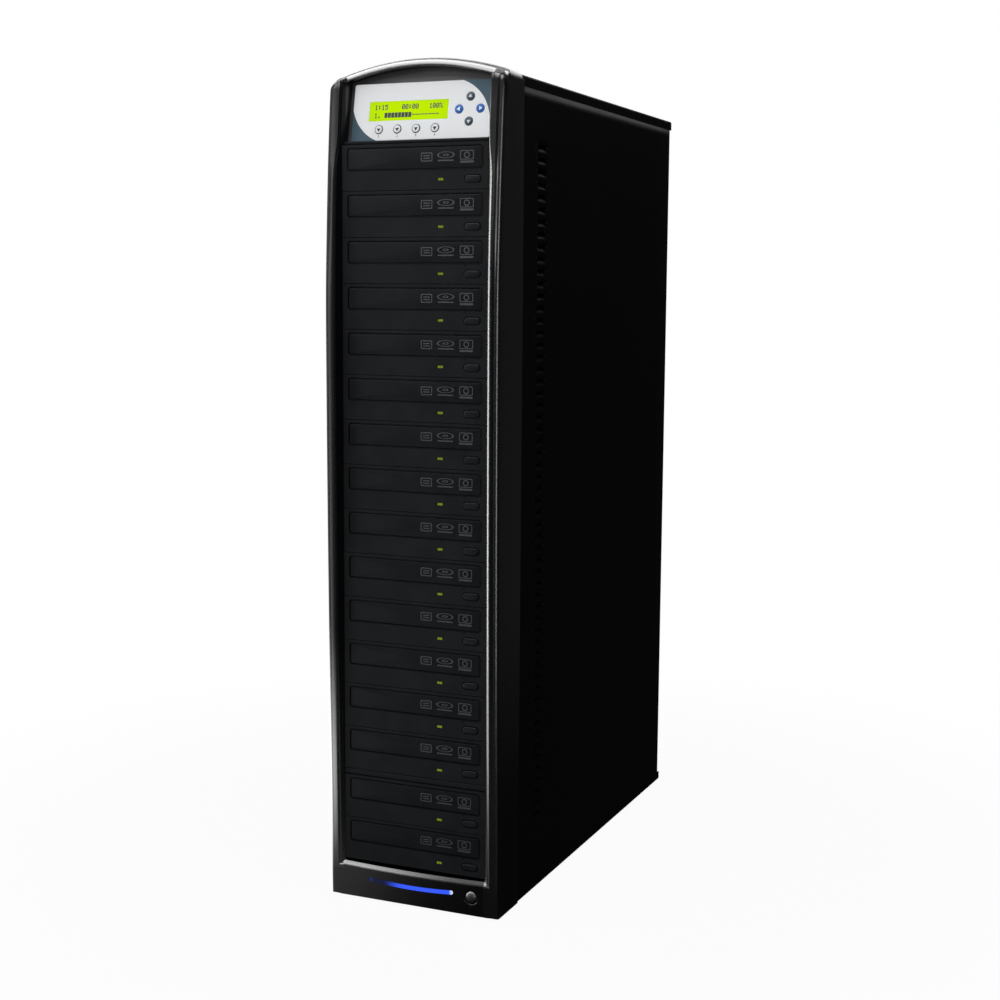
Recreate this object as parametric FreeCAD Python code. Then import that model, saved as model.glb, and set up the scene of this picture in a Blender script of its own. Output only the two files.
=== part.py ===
import FreeCAD, Part
import math
import os

# Tower disc duplicator. Millimetres, +Z up, the front faces -Y, the origin lies under the middle of the case.

Vector = FreeCAD.Vector
ACROSS = Vector(1, 0, 0)
REARWARD = Vector(0, 1, 0)
UPWARD = Vector(0, 0, 1)

# Drive trays: the disc well sets the width of everything round it
WELL_RADIUS = 60.5
WELL_DEPTH = 2.2
WELL_RIM = 5.9
CARRIER_LENGTH = 160.0
CARRIER_THICKNESS = 6.0
CARRIER_DROP = 5.0
WELL_SIDES = 16
SPINDLE_WIDTH = 42.0
SPINDLE_LENGTH = 72.0
SPINDLE_BEVEL = 12.0
DOOR_OVERHANG = 1.35
DOOR_HEIGHT = 18.9
DOOR_THICKNESS = 4.0
DOOR_DROP = 4.0
DOOR_GAP = 0.5
DOOR_BEVEL = 0.6

# Drive faceplates and housings
FACE_MARGIN = 6.45
FACE_THICKNESS = 5.0
FACE_GAP = 0.5
HOUSING_LIP = 1.2
HOUSING_HEADROOM = 0.4
HOUSING_DEPTH = 170.0
HOUSING_WALL = 1.0
RUNNER_THICKNESS = 2.0
RUNNER_BITE = 1.6
RUNNER_GAP = 0.3

# Drive front details, measured from the faceplate's foot and its right-hand end
CONTROL_LINE = 9.0
EJECT_INSET = 15.6
EJECT_LENGTH = 15.2
EJECT_HEIGHT = 5.8
EJECT_PROUD = 0.7
EJECT_BEVEL = 1.7
EJECT_GAP = 0.3
LIGHT_INSET = 47.3
LIGHT_LENGTH = 5.0
LIGHT_HEIGHT = 2.0
LIGHT_GAP = 0.1

# Bays: numbered from the top, with a bar above the lower bank
BAY_PITCH = 42.3
BAY_COUNT = 16
LOWER_BANK = 2
BANK_BAR = 6.2
BASE_HEIGHT = 37.0

# Front bezel
BEZEL_DEPTH = 46.0
PILLAR_WIDTH = 14.5
BEZEL_WALL = 3.0
FRAME_WALL = 7.0
FRAME_DEPTH = 28.0
EDGE_RADIUS = 3.0
SHOULDER_RADIUS = 7.0
SPLAY_WIDTH = 7.0
SPLAY_DEPTH = 2.5
SPLAY_STEPS = 9
SILL_SPLAY = 5.0
OPENING_GAP = 0.3
BOW = 10.0
BULGE_HEIGHT = 560.0
BASE_FALL = 7.5
CROWN_FALL = 13.0
CROWN_RISE = 16.5
SHOULDER_RISE = 1.0
HEADER_MIDDLE = 7.5
HEADER_END = 7.0
HEADER_SETBACK = 8.0
HEADER_ROLL = 5.0
SILL_DROP = 1.5
SILL_SAG = 1.5
BAR_SETBACK = 0.5
LEDGE_SETBACK = 4.5

# Control panel, leaning back in the bezel's top
PANEL_TILT = 10.4
PANEL_MARGIN = 4.5
PANEL_HEIGHT = 53.0
PANEL_THICKNESS = 2.5
PANEL_RECESS = 10.2
PANEL_LIFT = 4.0
PANEL_HEADROOM = 5.7
PANEL_CORNER = 2.0
PANEL_SEAT = 4.0
DISPLAY_INSET = 16.7
DISPLAY_ABOVE_KEYS = 8.0
DISPLAY_HEIGHT = 18.3
DISPLAY_SETBACK = 0.5
DISPLAY_LIP = 1.5
DISPLAY_DEPTH = 7.0
ARROW_ZONE = 42.8
ARROW_REACH_X = 10.5
ARROW_REACH_Z = 11.4
ARROW_HEIGHT = 26.5
MENU_INSET = 28.0
MENU_PITCH = 19.1
MENU_HEIGHT = 10.1
MENU_KEYS = 4
KEY_RADIUS = 4.1
KEY_SIDES = 12
KEY_PROUD = 1.2
KEY_STEM = 1.2
KEY_GAP = 0.3
KEY_TRAVEL = 0.8
BOARD_THICKNESS = 1.6
BOARD_INSET = 6.0
BOARD_POST = 5.0
SWITCH_SIDE = 6.0
SEAT_GAP = 0.2

# Base front: light bar and power button
BAR_LENGTH = 85.0
BAR_THICKNESS = 4.0
BAR_SAG = 2.0
BAR_OFFSET = -1.75
BAR_HEIGHT = 18.0
BAR_PROUD = 0.3
BAR_DEPTH = 7.0
BAR_CLEARANCE = 0.1
POWER_INSET = 28.1
POWER_HEIGHT = 18.0
POWER_RADIUS = 6.2
POWER_TIP_RADIUS = 3.8
POWER_DOME = 2.0
POWER_PROUD = 0.8
POWER_GAP = 0.3
POWER_DISH = 2.0
POWER_DISH_DEPTH = 1.6
POWER_GUIDE = 6.0

# Folded chassis and side panels
CHASSIS_DEPTH = 444.0
SHEET = 1.0
FOLD_RADIUS = 2.5
RIM_FLANGE = 10.0
PANEL_SEAM = 0.4
REAR_FLANGE = 14.0
REAR_INSET = 4.0
LOUVRE_LENGTH = 23.0
LOUVRE_SETBACK = 35.0
LOUVRE_PITCH = 11.5
LOUVRE_SLOT = 6.0
LOUVRE_DEPTH = 3.6
LOUVRE_DROP = 62.5
LOUVRE_COUNT = 57
CAGE_DEPTH = 130.0
CAGE_GAP = 0.2

# Feet
FOOT_SIDE = 22.0
FOOT_BEVEL = 1.0
FOOT_HEIGHT = 3.0
FOOT_INSET_X = 16.0
FOOT_INSET_Y = 36.0

# Power supply
PSU_SIDE_GAP = 13.0
PSU_HEIGHT = 86.0
PSU_DEPTH = 140.0
PSU_FRAME = 6.0
PSU_SOCKET_BLOCK = 22.0
PSU_CABLE_EXIT = 18.0
PSU_VENT_WIDTH = 3.0
PSU_VENT_PITCH = 7.0
PSU_VENTS = 10
PSU_VENT_MARGIN = 16.0
PSU_VENT_DEPTH = 3.0
SOCKET_INSET = 34.0
INLET_WIDTH = 28.0
INLET_HEIGHT = 21.0
INLET_DEPTH = 18.0
INLET_LINE = 24.0
INLET_WALL = 2.4
INLET_CHAMFER = 4.5
INLET_FLOOR = 3.0
PRONG_WIDTH = 2.0
PRONG_HEIGHT = 4.0
PRONG_LENGTH = 10.0
PRONG_PITCH = 7.0
ROCKER_LINE = 56.0
ROCKER_WIDTH = 12.0
ROCKER_REACH = 8.5
ROCKER_CREST = 3.4
ROCKER_ROOT = 3.4
ROCKER_TILT = 10.0
ROCKER_GAP = 0.4
ROCKER_PIN = 1.5
ROCKER_PIN_LENGTH = 2.0
RUNNING_GAP = 0.05

# Exhaust fan
FAN_SIDE = 120.0
FAN_DEPTH = 25.0
FAN_DROP = 150.0
FAN_RIM = 2.5
DUCT_SIDES = 24
HUB_RADIUS = 20.0
HUB_SIDES = 12
STRUT_WIDTH = 5.0
STRUT_DEPTH = 4.0
BLADE_COUNT = 7
BLADE_CHORD = 26.0
BLADE_SKIN = 1.6
BLADE_TWIST = 42.0
TIP_GAP = 1.5
SHAFT_RADIUS = 2.5
GRILLE_SLOT = 4.0
GRILLE_PITCH = 8.0
GRILLE_SLOTS = 13


# Widths that follow from the tray
CARRIER_WIDTH = 2 * (WELL_RADIUS + WELL_RIM)
DOOR_WIDTH = CARRIER_WIDTH + 2 * DOOR_OVERHANG
FACE_WIDTH = DOOR_WIDTH + 2 * FACE_MARGIN
HOUSING_WIDTH = FACE_WIDTH - 2 * HOUSING_LIP
OPENING_HALF = FACE_WIDTH / 2 + OPENING_GAP
CASE_HALF = OPENING_HALF + PILLAR_WIDTH
PANEL_WIDTH = 2 * (OPENING_HALF - PANEL_MARGIN)

# Heights
Z_UNDER = FOOT_HEIGHT
Z_FLOOR = Z_UNDER + SHEET
Z_BAYS = Z_UNDER + BASE_HEIGHT
Z_BAY_TOP = Z_BAYS + BAY_COUNT * BAY_PITCH + BANK_BAR
TILT = math.radians(PANEL_TILT)
Z_ROOF = Z_BAY_TOP + PANEL_LIFT + PANEL_HEIGHT * math.cos(TILT) + PANEL_HEADROOM
Z_CROWN = Z_ROOF + CROWN_RISE
Z_SHOULDER = Z_ROOF + SHOULDER_RISE
Z_BULGE = Z_UNDER + BULGE_HEIGHT

# Depths
OVERALL_DEPTH = BOW + BEZEL_DEPTH + CHASSIS_DEPTH
Y_FRONT = -OVERALL_DEPTH / 2
Y_DRIVE = Y_FRONT + BOW
Y_SEAM = Y_DRIVE + BEZEL_DEPTH
Y_REAR = Y_SEAM + CHASSIS_DEPTH
Y_PANEL_END = Y_REAR - REAR_INSET
Y_BACK_WALL = Y_PANEL_END - SHEET
Y_INNER = Y_BACK_WALL - SHEET
Y_FRAME = Y_DRIVE + FRAME_DEPTH
Y_HOUSING = Y_DRIVE + FACE_THICKNESS

FACE_HEIGHT = BAY_PITCH - FACE_GAP
PAST = 5.0
TOUCH = 0.01


def box(x_span, y_span, z_span):
    """Block between two values of X, of Y and of Z."""
    low, high = zip(x_span, y_span, z_span)
    return Part.makeBox(*(b - a for a, b in zip(low, high)), Vector(*low))


def both_sides(half):
    return (-half, half)


def peg(radius, start, along, length):
    return Part.makeCylinder(radius, length, start, along)


def facet(points):
    """Flat face on a closed outline."""
    return Part.Face(Part.makePolygon(points + points[:1]))


def prism(points, along):
    return facet(points).extrude(along)


def drum(radius, sides, start, along, length):
    """Many-sided prism about an axis across X, for round forms that repeat or lie inside the case."""
    corner = ACROSS * radius
    turn = FreeCAD.Rotation(along, 360 / sides)
    points = []
    for _ in range(sides):
        points.append(start + corner)
        corner = turn.multVec(corner)
    return prism(points, along * length)


def edge_middle(edge):
    return edge.valueAt((edge.FirstParameter + edge.LastParameter) / 2)


def edges_where(shape, test):
    return [edge for edge in shape.Edges if test(edge_middle(edge))]


def bevel_front(shape, y, size):
    """Bevels every edge that lies in the front plane at depth y."""
    return shape.makeChamfer(size, edges_where(shape, lambda p: abs(p.y - y) < TOUCH))


def bay_floor(bay):
    """Height of a bay's foot, where bay 1 is the top one."""
    below = BAY_COUNT - bay
    return Z_BAYS + below * BAY_PITCH + (BANK_BAR if below >= LOWER_BANK else 0.0)


def face_foot(bay):
    return bay_floor(bay) + FACE_GAP / 2


def door_span(bay):
    """Foot and top of a tray's door."""
    top = face_foot(bay) + FACE_HEIGHT - DOOR_DROP
    return top - DOOR_HEIGHT, top


def carrier_span(bay):
    """Underside and top of a tray's disc carrier."""
    top = door_span(bay)[1] - CARRIER_DROP
    return top - CARRIER_THICKNESS, top


def bevelled_outline(across_span, up_span, bevel):
    """Corner points of a rectangle with its four corners cut off."""
    (left, right), (low, high) = across_span, up_span
    return [
        (left + bevel, low),
        (right - bevel, low),
        (right, low + bevel),
        (right, high - bevel),
        (right - bevel, high),
        (left + bevel, high),
        (left, high - bevel),
        (left, low + bevel),
    ]


def eject_bar(bay, growth, y_span):
    """Eject button's bar with bevelled ends, or with growth the hole that it sits in."""
    x = from_right(EJECT_INSET)
    z = face_foot(bay) + CONTROL_LINE
    half_x, half_z = EJECT_LENGTH / 2 + growth, EJECT_HEIGHT / 2 + growth
    outline = bevelled_outline((x - half_x, x + half_x), (z - half_z, z + half_z), EJECT_BEVEL)
    return prism([Vector(a, y_span[0], b) for a, b in outline], REARWARD * (y_span[1] - y_span[0]))


def from_right(inset):
    """X of a detail that lies inset from the right-hand end of a faceplate."""
    return FACE_WIDTH / 2 - inset


# Drives


def tray(bay):
    """Disc carrier with its well and spindle slot, and the door clipped to its front."""
    low, top = carrier_span(bay)
    y_carrier = Y_DRIVE + DOOR_THICKNESS
    y_well = y_carrier + WELL_RIM + WELL_RADIUS
    carrier = box(both_sides(CARRIER_WIDTH / 2), (y_carrier, y_carrier + CARRIER_LENGTH), (low, top))
    well = drum(WELL_RADIUS, WELL_SIDES, Vector(0, y_well, top - WELL_DEPTH), UPWARD, WELL_DEPTH + PAST)
    slot_y = (y_well - SPINDLE_WIDTH / 2, y_well - SPINDLE_WIDTH / 2 + SPINDLE_LENGTH)
    slot = bevelled_outline(both_sides(SPINDLE_WIDTH / 2), slot_y, SPINDLE_BEVEL)
    slot = prism([Vector(a, b, low - PAST) for a, b in slot], UPWARD * (CARRIER_THICKNESS + 2 * PAST))
    door = box(both_sides(DOOR_WIDTH / 2), (Y_DRIVE, y_carrier), door_span(bay))
    return Part.makeCompound([carrier.cut([well, slot]), bevel_front(door, Y_DRIVE, DOOR_BEVEL)])


def eject_button(bay):
    return eject_bar(bay, 0.0, (Y_DRIVE - EJECT_PROUD, Y_HOUSING))


def light_block(bay, growth, y_span):
    """Activity light, or with growth the hole that it sits in."""
    x = from_right(LIGHT_INSET)
    z = face_foot(bay) + CONTROL_LINE
    half_x, half_z = LIGHT_LENGTH / 2 + growth, LIGHT_HEIGHT / 2 + growth
    return box((x - half_x, x + half_x), y_span, (z - half_z, z + half_z))


def faceplate(bay):
    foot = face_foot(bay)
    plate = box(both_sides(FACE_WIDTH / 2), (Y_DRIVE, Y_HOUSING), (foot, foot + FACE_HEIGHT))
    through = (Y_DRIVE - PAST, Y_HOUSING + PAST)
    door_low, door_top = door_span(bay)
    doorway = box(both_sides(DOOR_WIDTH / 2 + DOOR_GAP), through, (door_low - DOOR_GAP, door_top + DOOR_GAP))
    return plate.cut([doorway, eject_bar(bay, EJECT_GAP, through), light_block(bay, LIGHT_GAP, through)])


def housing(bay):
    """Steel drive body, open at the front, with a pair of runners for the carrier on each wall."""
    foot = face_foot(bay) + HOUSING_HEADROOM
    top = foot + FACE_HEIGHT - 2 * HOUSING_HEADROOM
    half = HOUSING_WIDTH / 2
    y_end = Y_HOUSING + HOUSING_DEPTH
    body = box(both_sides(half), (Y_HOUSING, y_end), (foot, top))
    room = box(
        both_sides(half - HOUSING_WALL),
        (Y_HOUSING - PAST, y_end - HOUSING_WALL),
        (foot + HOUSING_WALL, top - HOUSING_WALL),
    )
    body = body.cut(room)
    low, high = carrier_span(bay)
    runners = []
    for side in (-1, 1):
        x_span = sorted((side * (half - HOUSING_WALL), side * (CARRIER_WIDTH / 2 - RUNNER_BITE)))
        for z in (high + RUNNER_GAP, low - RUNNER_GAP - RUNNER_THICKNESS):
            runners.append(box(x_span, (Y_HOUSING, y_end - HOUSING_WALL), (z, z + RUNNER_THICKNESS)))
    return body.fuse(runners)


# Front bezel


def front_y(z, inset=0.0):
    """Y of the bowed front at height z: two arcs that meet upright at the bulge, moved inwards by inset."""
    fall, reach = (BASE_FALL, BULGE_HEIGHT) if z < Z_BULGE else (CROWN_FALL, Z_CROWN - Z_BULGE)
    radius = (reach ** 2 + fall ** 2) / (2 * fall)
    return Y_FRONT + inset + radius - math.sqrt(radius ** 2 - (z - Z_BULGE) ** 2)


def bowed_block(half, z_low, z_high, inset, y_back):
    """Block with the bowed front and a flat back."""
    def front(z):
        return Vector(-half, front_y(z, inset), z)

    def back(z):
        return Vector(-half, y_back, z)

    wire = Part.Wire([
        Part.makeLine(back(z_low), front(z_low)),
        Part.Arc(front(z_low), front((z_low + Z_BULGE) / 2), front(Z_BULGE)).toShape(),
        Part.Arc(front(Z_BULGE), front((Z_BULGE + z_high) / 2), front(z_high)).toShape(),
        Part.makeLine(front(z_high), back(z_high)),
        Part.makeLine(back(z_high), back(z_low)),
    ])
    return Part.Face(wire).extrude(ACROSS * (2 * half))


def arch_z(x, inset=0.0):
    """Height of the arched header at x, moved inwards by inset."""
    rise = Z_CROWN - Z_SHOULDER
    radius = (CASE_HALF ** 2 + rise ** 2) / (2 * rise)
    return Z_CROWN - radius + math.sqrt((radius - inset) ** 2 - x ** 2)


def crossing(half, y, z_end, z_middle):
    """Edge from side to side: an arc, or a line where its middle is level with its ends."""
    left, right = Vector(-half, y, z_end), Vector(half, y, z_end)
    if abs(z_end - z_middle) < TOUCH:
        return Part.makeLine(left, right)
    return Part.Arc(left, Vector(0, y, z_middle), right).toShape()


def arched_outline(half, sill, head, y):
    """Closed outline between a sill and a head, each given by its height at the ends and in the middle."""
    jambs = [Part.makeLine(Vector(x, y, sill[0]), Vector(x, y, head[0])) for x in both_sides(half)]
    return Part.Wire(Part.__sortEdges__([crossing(half, y, *sill), crossing(half, y, *head)] + jambs))


def arched_block(half, sill, head, y_span):
    """Block along Y on an arched outline."""
    face = Part.Face(arched_outline(half, sill, head, y_span[0]))
    return face.extrude(REARWARD * (y_span[1] - y_span[0]))


def round_shoulders(shape, radius, half, z):
    """Rounds the two upper corners of an arched block, where its head meets its sides."""
    return shape.makeFillet(radius, fold_edges(shape, z, half))


def opening_sill(drop=0.0):
    end = Z_BAYS - FACE_GAP - SILL_DROP - drop
    return end, end - SILL_SAG


def opening_head(lift=0.0):
    return arch_z(OPENING_HALF) - HEADER_END + lift, Z_CROWN - HEADER_MIDDLE + lift


def panel_place():
    """The panel's own frame: X across, Y inwards, Z up its face from the middle of its foot."""
    foot = Vector(0, Y_DRIVE + PANEL_RECESS, Z_BAY_TOP + PANEL_LIFT)
    return FreeCAD.Placement(foot, FreeCAD.Rotation(ACROSS, -PANEL_TILT))


def on_panel(shape):
    shape.Placement = panel_place()
    return shape


def ledge_top():
    """Height of the ledge, just under the panel's lowest edge, which is the back one."""
    return Z_BAY_TOP + PANEL_LIFT - PANEL_THICKNESS * math.sin(TILT) - SEAT_GAP


def control_wall():
    """Leaning wall behind the control panel, with a window for what is mounted on the panel's back."""
    half = OPENING_HALF + FRAME_WALL / 2
    y_span = (PANEL_THICKNESS, PANEL_THICKNESS + BEZEL_WALL)
    wall = on_panel(box(both_sides(half), y_span, (-PANEL_HEIGHT, 2 * PANEL_HEIGHT)))
    foot = Z_BAY_TOP + FACE_GAP
    head = opening_head(FRAME_WALL / 2)
    wall = wall.common(arched_block(half, (foot, foot), head, (Y_DRIVE, Y_SEAM)))
    window_x = both_sides(PANEL_WIDTH / 2 - PANEL_SEAT)
    window = on_panel(box(window_x, (-PAST, y_span[1] + PAST), (PANEL_SEAT, PANEL_HEIGHT - PANEL_SEAT)))
    return wall.cut(window)


def cross_bar(y_span, z_span):
    """Bar across the opening, sunk into its side walls."""
    return box(both_sides(OPENING_HALF + FRAME_WALL / 2), y_span, z_span)


def power_axis(y):
    return Vector(CASE_HALF - POWER_INSET, y, Z_UNDER + POWER_HEIGHT)


def power_front():
    return front_y(Z_UNDER + POWER_HEIGHT)


def power_back():
    """Depth of the inner end of the button's guide."""
    return power_front() + BEZEL_WALL + POWER_GUIDE


def light_band(growth, y_span):
    """Smile-shaped band with round ends, grown all round, extruded along Y."""
    half = BAR_LENGTH / 2
    radius = (half ** 2 + BAR_SAG ** 2) / (2 * BAR_SAG)
    sweep = math.asin(half / radius)
    thick = BAR_THICKNESS / 2 + growth
    z_middle = Z_UNDER + BAR_HEIGHT

    def at(angle, offset):
        reach = radius + offset
        return Vector(BAR_OFFSET + reach * math.sin(angle), y_span[0], z_middle + radius - reach * math.cos(angle))

    tip = sweep + thick / radius
    wire = Part.Wire([
        Part.Arc(at(-sweep, thick), at(0, thick), at(sweep, thick)).toShape(),
        Part.Arc(at(sweep, thick), at(tip, 0), at(sweep, -thick)).toShape(),
        Part.Arc(at(sweep, -thick), at(0, -thick), at(-sweep, -thick)).toShape(),
        Part.Arc(at(-sweep, -thick), at(-tip, 0), at(-sweep, thick)).toShape(),
    ])
    return Part.Face(wire).extrude(REARWARD * (y_span[1] - y_span[0]))


def faceted_loft(sections):
    """Solid through outlines with equally many corners, each of its sides split into flat triangles."""
    faces = [facet(sections[0]), facet(sections[-1])]
    for lower, upper in zip(sections, sections[1:]):
        for index, corner in enumerate(lower):
            after = (index + 1) % len(lower)
            faces.append(facet([corner, lower[after], upper[after]]))
            faces.append(facet([corner, upper[after], upper[index]]))
    return Part.makeSolid(Part.makeShell(faces))


def splay_section(z):
    """Corners across the opening at height z, widening forwards to the splay's crest on the bowed front."""
    crest = front_y(z)
    root = max(Y_DRIVE, crest + SPLAY_DEPTH)
    tip = crest - PAST
    reach = OPENING_HALF + SPLAY_WIDTH * (root - tip) / (root - crest)
    corners = [(-OPENING_HALF, root), (OPENING_HALF, root), (reach, tip), (-reach, tip)]
    return [Vector(x, y, z) for x, y in corners]


def splay():
    """Room in front of the opening's edge: sloped sides and a sloped sill that meet in mitres."""
    low, high = Z_UNDER - PAST, Z_CROWN + PAST
    heights = [low + (high - low) * step / SPLAY_STEPS for step in range(SPLAY_STEPS + 1)]
    sides = faceted_loft([splay_section(z) for z in heights])
    sill = opening_sill()
    slope = SILL_SPLAY / (Y_DRIVE - front_y(sill[0] - SILL_SPLAY))
    half = CASE_HALF + 2 * PAST
    forwards = Y_DRIVE - Y_FRONT + PAST
    sill_face = Part.Face(arched_outline(half, sill, (high, high), Y_DRIVE))
    above_sill = sill_face.extrude(Vector(0, -forwards, -slope * forwards))
    behind = box(both_sides(half), (Y_DRIVE, Y_SEAM), (sill[0], high))
    under_head = arched_block(half, (low, low), opening_head(), (Y_FRONT - 2 * PAST, Y_SEAM))
    return sides.common(above_sill.fuse(behind)).common(under_head)


def set_back_header(skin):
    """Cuts the header's front back between the pillar tips and rolls its top edge."""
    y = front_y(Z_CROWN) + HEADER_SETBACK
    room = box(both_sides(OPENING_HALF), (Y_FRONT - PAST, y), (opening_head()[0] - PAST, Z_CROWN + PAST))
    skin = skin.cut(room)

    def on_top(p):
        return abs(p.y - y) < TOUCH and abs(p.z - arch_z(p.x)) < TOUCH

    return skin.makeFillet(HEADER_ROLL, edges_where(skin, on_top))


def bezel_skin():
    """Bowed and arched outside with rounded edges, a splayed opening and an open back."""
    low = (Z_UNDER, Z_UNDER)
    outside = bowed_block(CASE_HALF, Z_UNDER, Z_CROWN + PAST, 0.0, Y_SEAM)
    outline = arched_block(CASE_HALF, low, (Z_SHOULDER, Z_CROWN), (Y_FRONT - PAST, Y_SEAM + PAST))
    skin = outside.common(round_shoulders(outline, SHOULDER_RADIUS, CASE_HALF, Z_SHOULDER))

    def on_outline(p):
        on_side = abs(abs(p.x) - CASE_HALF) < TOUCH
        return abs(p.y - front_y(p.z)) < TOUCH and (on_side or abs(p.z - arch_z(p.x)) < TOUCH)

    skin = skin.makeFillet(EDGE_RADIUS, edges_where(skin, on_outline))
    opening = arched_block(OPENING_HALF, opening_sill(), opening_head(), (Y_FRONT - PAST, Y_SEAM + PAST))
    skin = set_back_header(skin.cut([opening, splay()]))
    half = CASE_HALF - BEZEL_WALL
    room = bowed_block(half, Z_UNDER + BEZEL_WALL, Z_CROWN + PAST, BEZEL_WALL, Y_SEAM + PAST)
    room_head = (arch_z(half, BEZEL_WALL), arch_z(0, BEZEL_WALL))
    room_outline = arched_block(half, low, room_head, (Y_FRONT - PAST, Y_SEAM + 2 * PAST))
    room = room.common(round_shoulders(room_outline, SHOULDER_RADIUS - BEZEL_WALL, half, room_head[0]))
    frame = arched_block(
        OPENING_HALF + FRAME_WALL,
        opening_sill(FRAME_WALL),
        opening_head(HEADER_MIDDLE),
        (Y_FRONT - PAST, Y_FRAME),
    )
    header_back = box(
        both_sides(CASE_HALF), (Y_SEAM - BEZEL_WALL, Y_SEAM + 2 * PAST), (Z_ROOF - BEZEL_WALL, Z_CROWN)
    )
    return skin.cut(room.cut([frame, header_back]))


def front_bezel():
    bank_foot = bay_floor(BAY_COUNT - LOWER_BANK) - BANK_BAR
    bars = [
        cross_bar(
            (Y_DRIVE + BAR_SETBACK, Y_HOUSING),
            (bank_foot + FACE_GAP / 2, bank_foot + BANK_BAR - FACE_GAP / 2),
        ),
        cross_bar((Y_DRIVE + LEDGE_SETBACK, Y_FRAME), (Z_BAY_TOP + FACE_GAP, ledge_top())),
        control_wall(),
    ]
    guide_start = power_front() + BEZEL_WALL / 2
    bore = POWER_RADIUS + POWER_GAP
    guide = peg(bore + BEZEL_WALL / 2, power_axis(guide_start), REARWARD, power_back() - guide_start)
    bezel = bezel_skin().fuse(bars + [guide])
    hole = peg(bore, power_axis(Y_FRONT - PAST), REARWARD, power_back() + PAST - Y_FRONT)
    dish = Part.makeCone(
        bore + POWER_DISH, bore, POWER_DISH_DEPTH, power_axis(power_front()), REARWARD
    )
    dish = dish.fuse(peg(bore + POWER_DISH, power_axis(Y_FRONT - PAST), REARWARD, power_front() + PAST - Y_FRONT))
    light_slot = light_band(BAR_CLEARANCE, (Y_FRONT - PAST, Y_DRIVE + 2 * BEZEL_WALL))
    return bezel.cut([hole, dish, light_slot])


def light_bar():
    """Curved light guide, standing a little proud of the base."""
    y = front_y(Z_UNDER + BAR_HEIGHT) - BAR_PROUD
    return light_band(0.0, (y, y + BAR_DEPTH))


def power_button():
    """Round cap with a sloped rim, running in its guide."""
    y_tip = power_front() - POWER_PROUD
    profile = [
        (0, y_tip),
        (POWER_TIP_RADIUS, y_tip),
        (POWER_RADIUS, y_tip + POWER_DOME),
        (POWER_RADIUS, power_back()),
        (0, power_back()),
    ]
    points = [Vector(radius, y, 0) for radius, y in profile]
    button = facet(points).revolve(Vector(0, 0, 0), REARWARD, 360)
    button.translate(power_axis(0))
    return button


# Control panel


def arrow_middle():
    return PANEL_WIDTH / 2 - ARROW_ZONE / 2


def key_places():
    """Each key's name with its place on the panel's face."""
    x, z = arrow_middle(), ARROW_HEIGHT
    places = {
        "key_up": (x, z + ARROW_REACH_Z),
        "key_down": (x, z - ARROW_REACH_Z),
        "key_escape": (x - ARROW_REACH_X, z),
        "key_enter": (x + ARROW_REACH_X, z),
    }
    for index in range(MENU_KEYS):
        places[f"menu_key_{index + 1}"] = (MENU_INSET - PANEL_WIDTH / 2 + index * MENU_PITCH, MENU_HEIGHT)
    return places


def display_span():
    """Window of the display on the panel's face: its span in X and in Z."""
    foot = MENU_HEIGHT + DISPLAY_ABOVE_KEYS
    return (DISPLAY_INSET - PANEL_WIDTH / 2, PANEL_WIDTH / 2 - ARROW_ZONE), (foot, foot + DISPLAY_HEIGHT)


def grown(span, growth):
    return span[0] - growth, span[1] + growth


def display_back():
    return PANEL_THICKNESS + DISPLAY_DEPTH


def board_span():
    """Control board's span in Y, just behind the display, in the panel's frame."""
    y = display_back() + SEAT_GAP
    return y, y + BOARD_THICKNESS


def board_posts():
    """Posts on the panel's back that carry the board, near its corners."""
    reach = PANEL_WIDTH / 2 - PANEL_SEAT - BOARD_POST
    foot = PANEL_SEAT + BOARD_POST
    half = BOARD_POST / 2
    y_span = (PANEL_THICKNESS, board_span()[0])
    return [
        box((x - half, x + half), y_span, (z - half, z + half))
        for x in both_sides(reach)
        for z in (foot, PANEL_HEIGHT - foot)
    ]


def control_fascia():
    plate = box(both_sides(PANEL_WIDTH / 2), (0, PANEL_THICKNESS), (0, PANEL_HEIGHT))
    corners = edges_where(plate, lambda p: abs(p.y - PANEL_THICKNESS / 2) < TOUCH)
    plate = plate.makeFillet(PANEL_CORNER, corners)
    x_span, z_span = display_span()
    cuts = [box(x_span, (-PAST, PANEL_THICKNESS + PAST), z_span)]
    for x, z in key_places().values():
        start = Vector(x, -PAST, z)
        cuts.append(drum(KEY_RADIUS + KEY_GAP, KEY_SIDES, start, REARWARD, PANEL_THICKNESS + 2 * PAST))
    return on_panel(plate.cut(cuts).fuse(board_posts()))


def lcd_module():
    x_span, z_span = display_span()
    glass = box(
        grown(x_span, -SEAT_GAP), (DISPLAY_SETBACK, PANEL_THICKNESS), grown(z_span, -SEAT_GAP)
    )
    body = box(grown(x_span, DISPLAY_LIP), (PANEL_THICKNESS, display_back()), grown(z_span, DISPLAY_LIP))
    return on_panel(glass.fuse(body))


def key_back():
    """Depth of a key's inner end, behind the panel."""
    return PANEL_THICKNESS + KEY_STEM


def key(place):
    x, z = place
    return on_panel(drum(KEY_RADIUS, KEY_SIDES, Vector(x, -KEY_PROUD, z), REARWARD, key_back() + KEY_PROUD))


def control_board():
    """Board behind the panel with one switch under each key."""
    y_span = board_span()
    half = PANEL_WIDTH / 2 - BOARD_INSET
    board = box(both_sides(half), y_span, (BOARD_INSET, PANEL_HEIGHT - BOARD_INSET))
    switch_top = key_back() + KEY_TRAVEL + KEY_GAP
    reach = SWITCH_SIDE / 2
    switches = [
        box((x - reach, x + reach), (switch_top, y_span[0]), (z - reach, z + reach))
        for x, z in key_places().values()
    ]
    return on_panel(board.fuse(switches))


# Chassis


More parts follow.
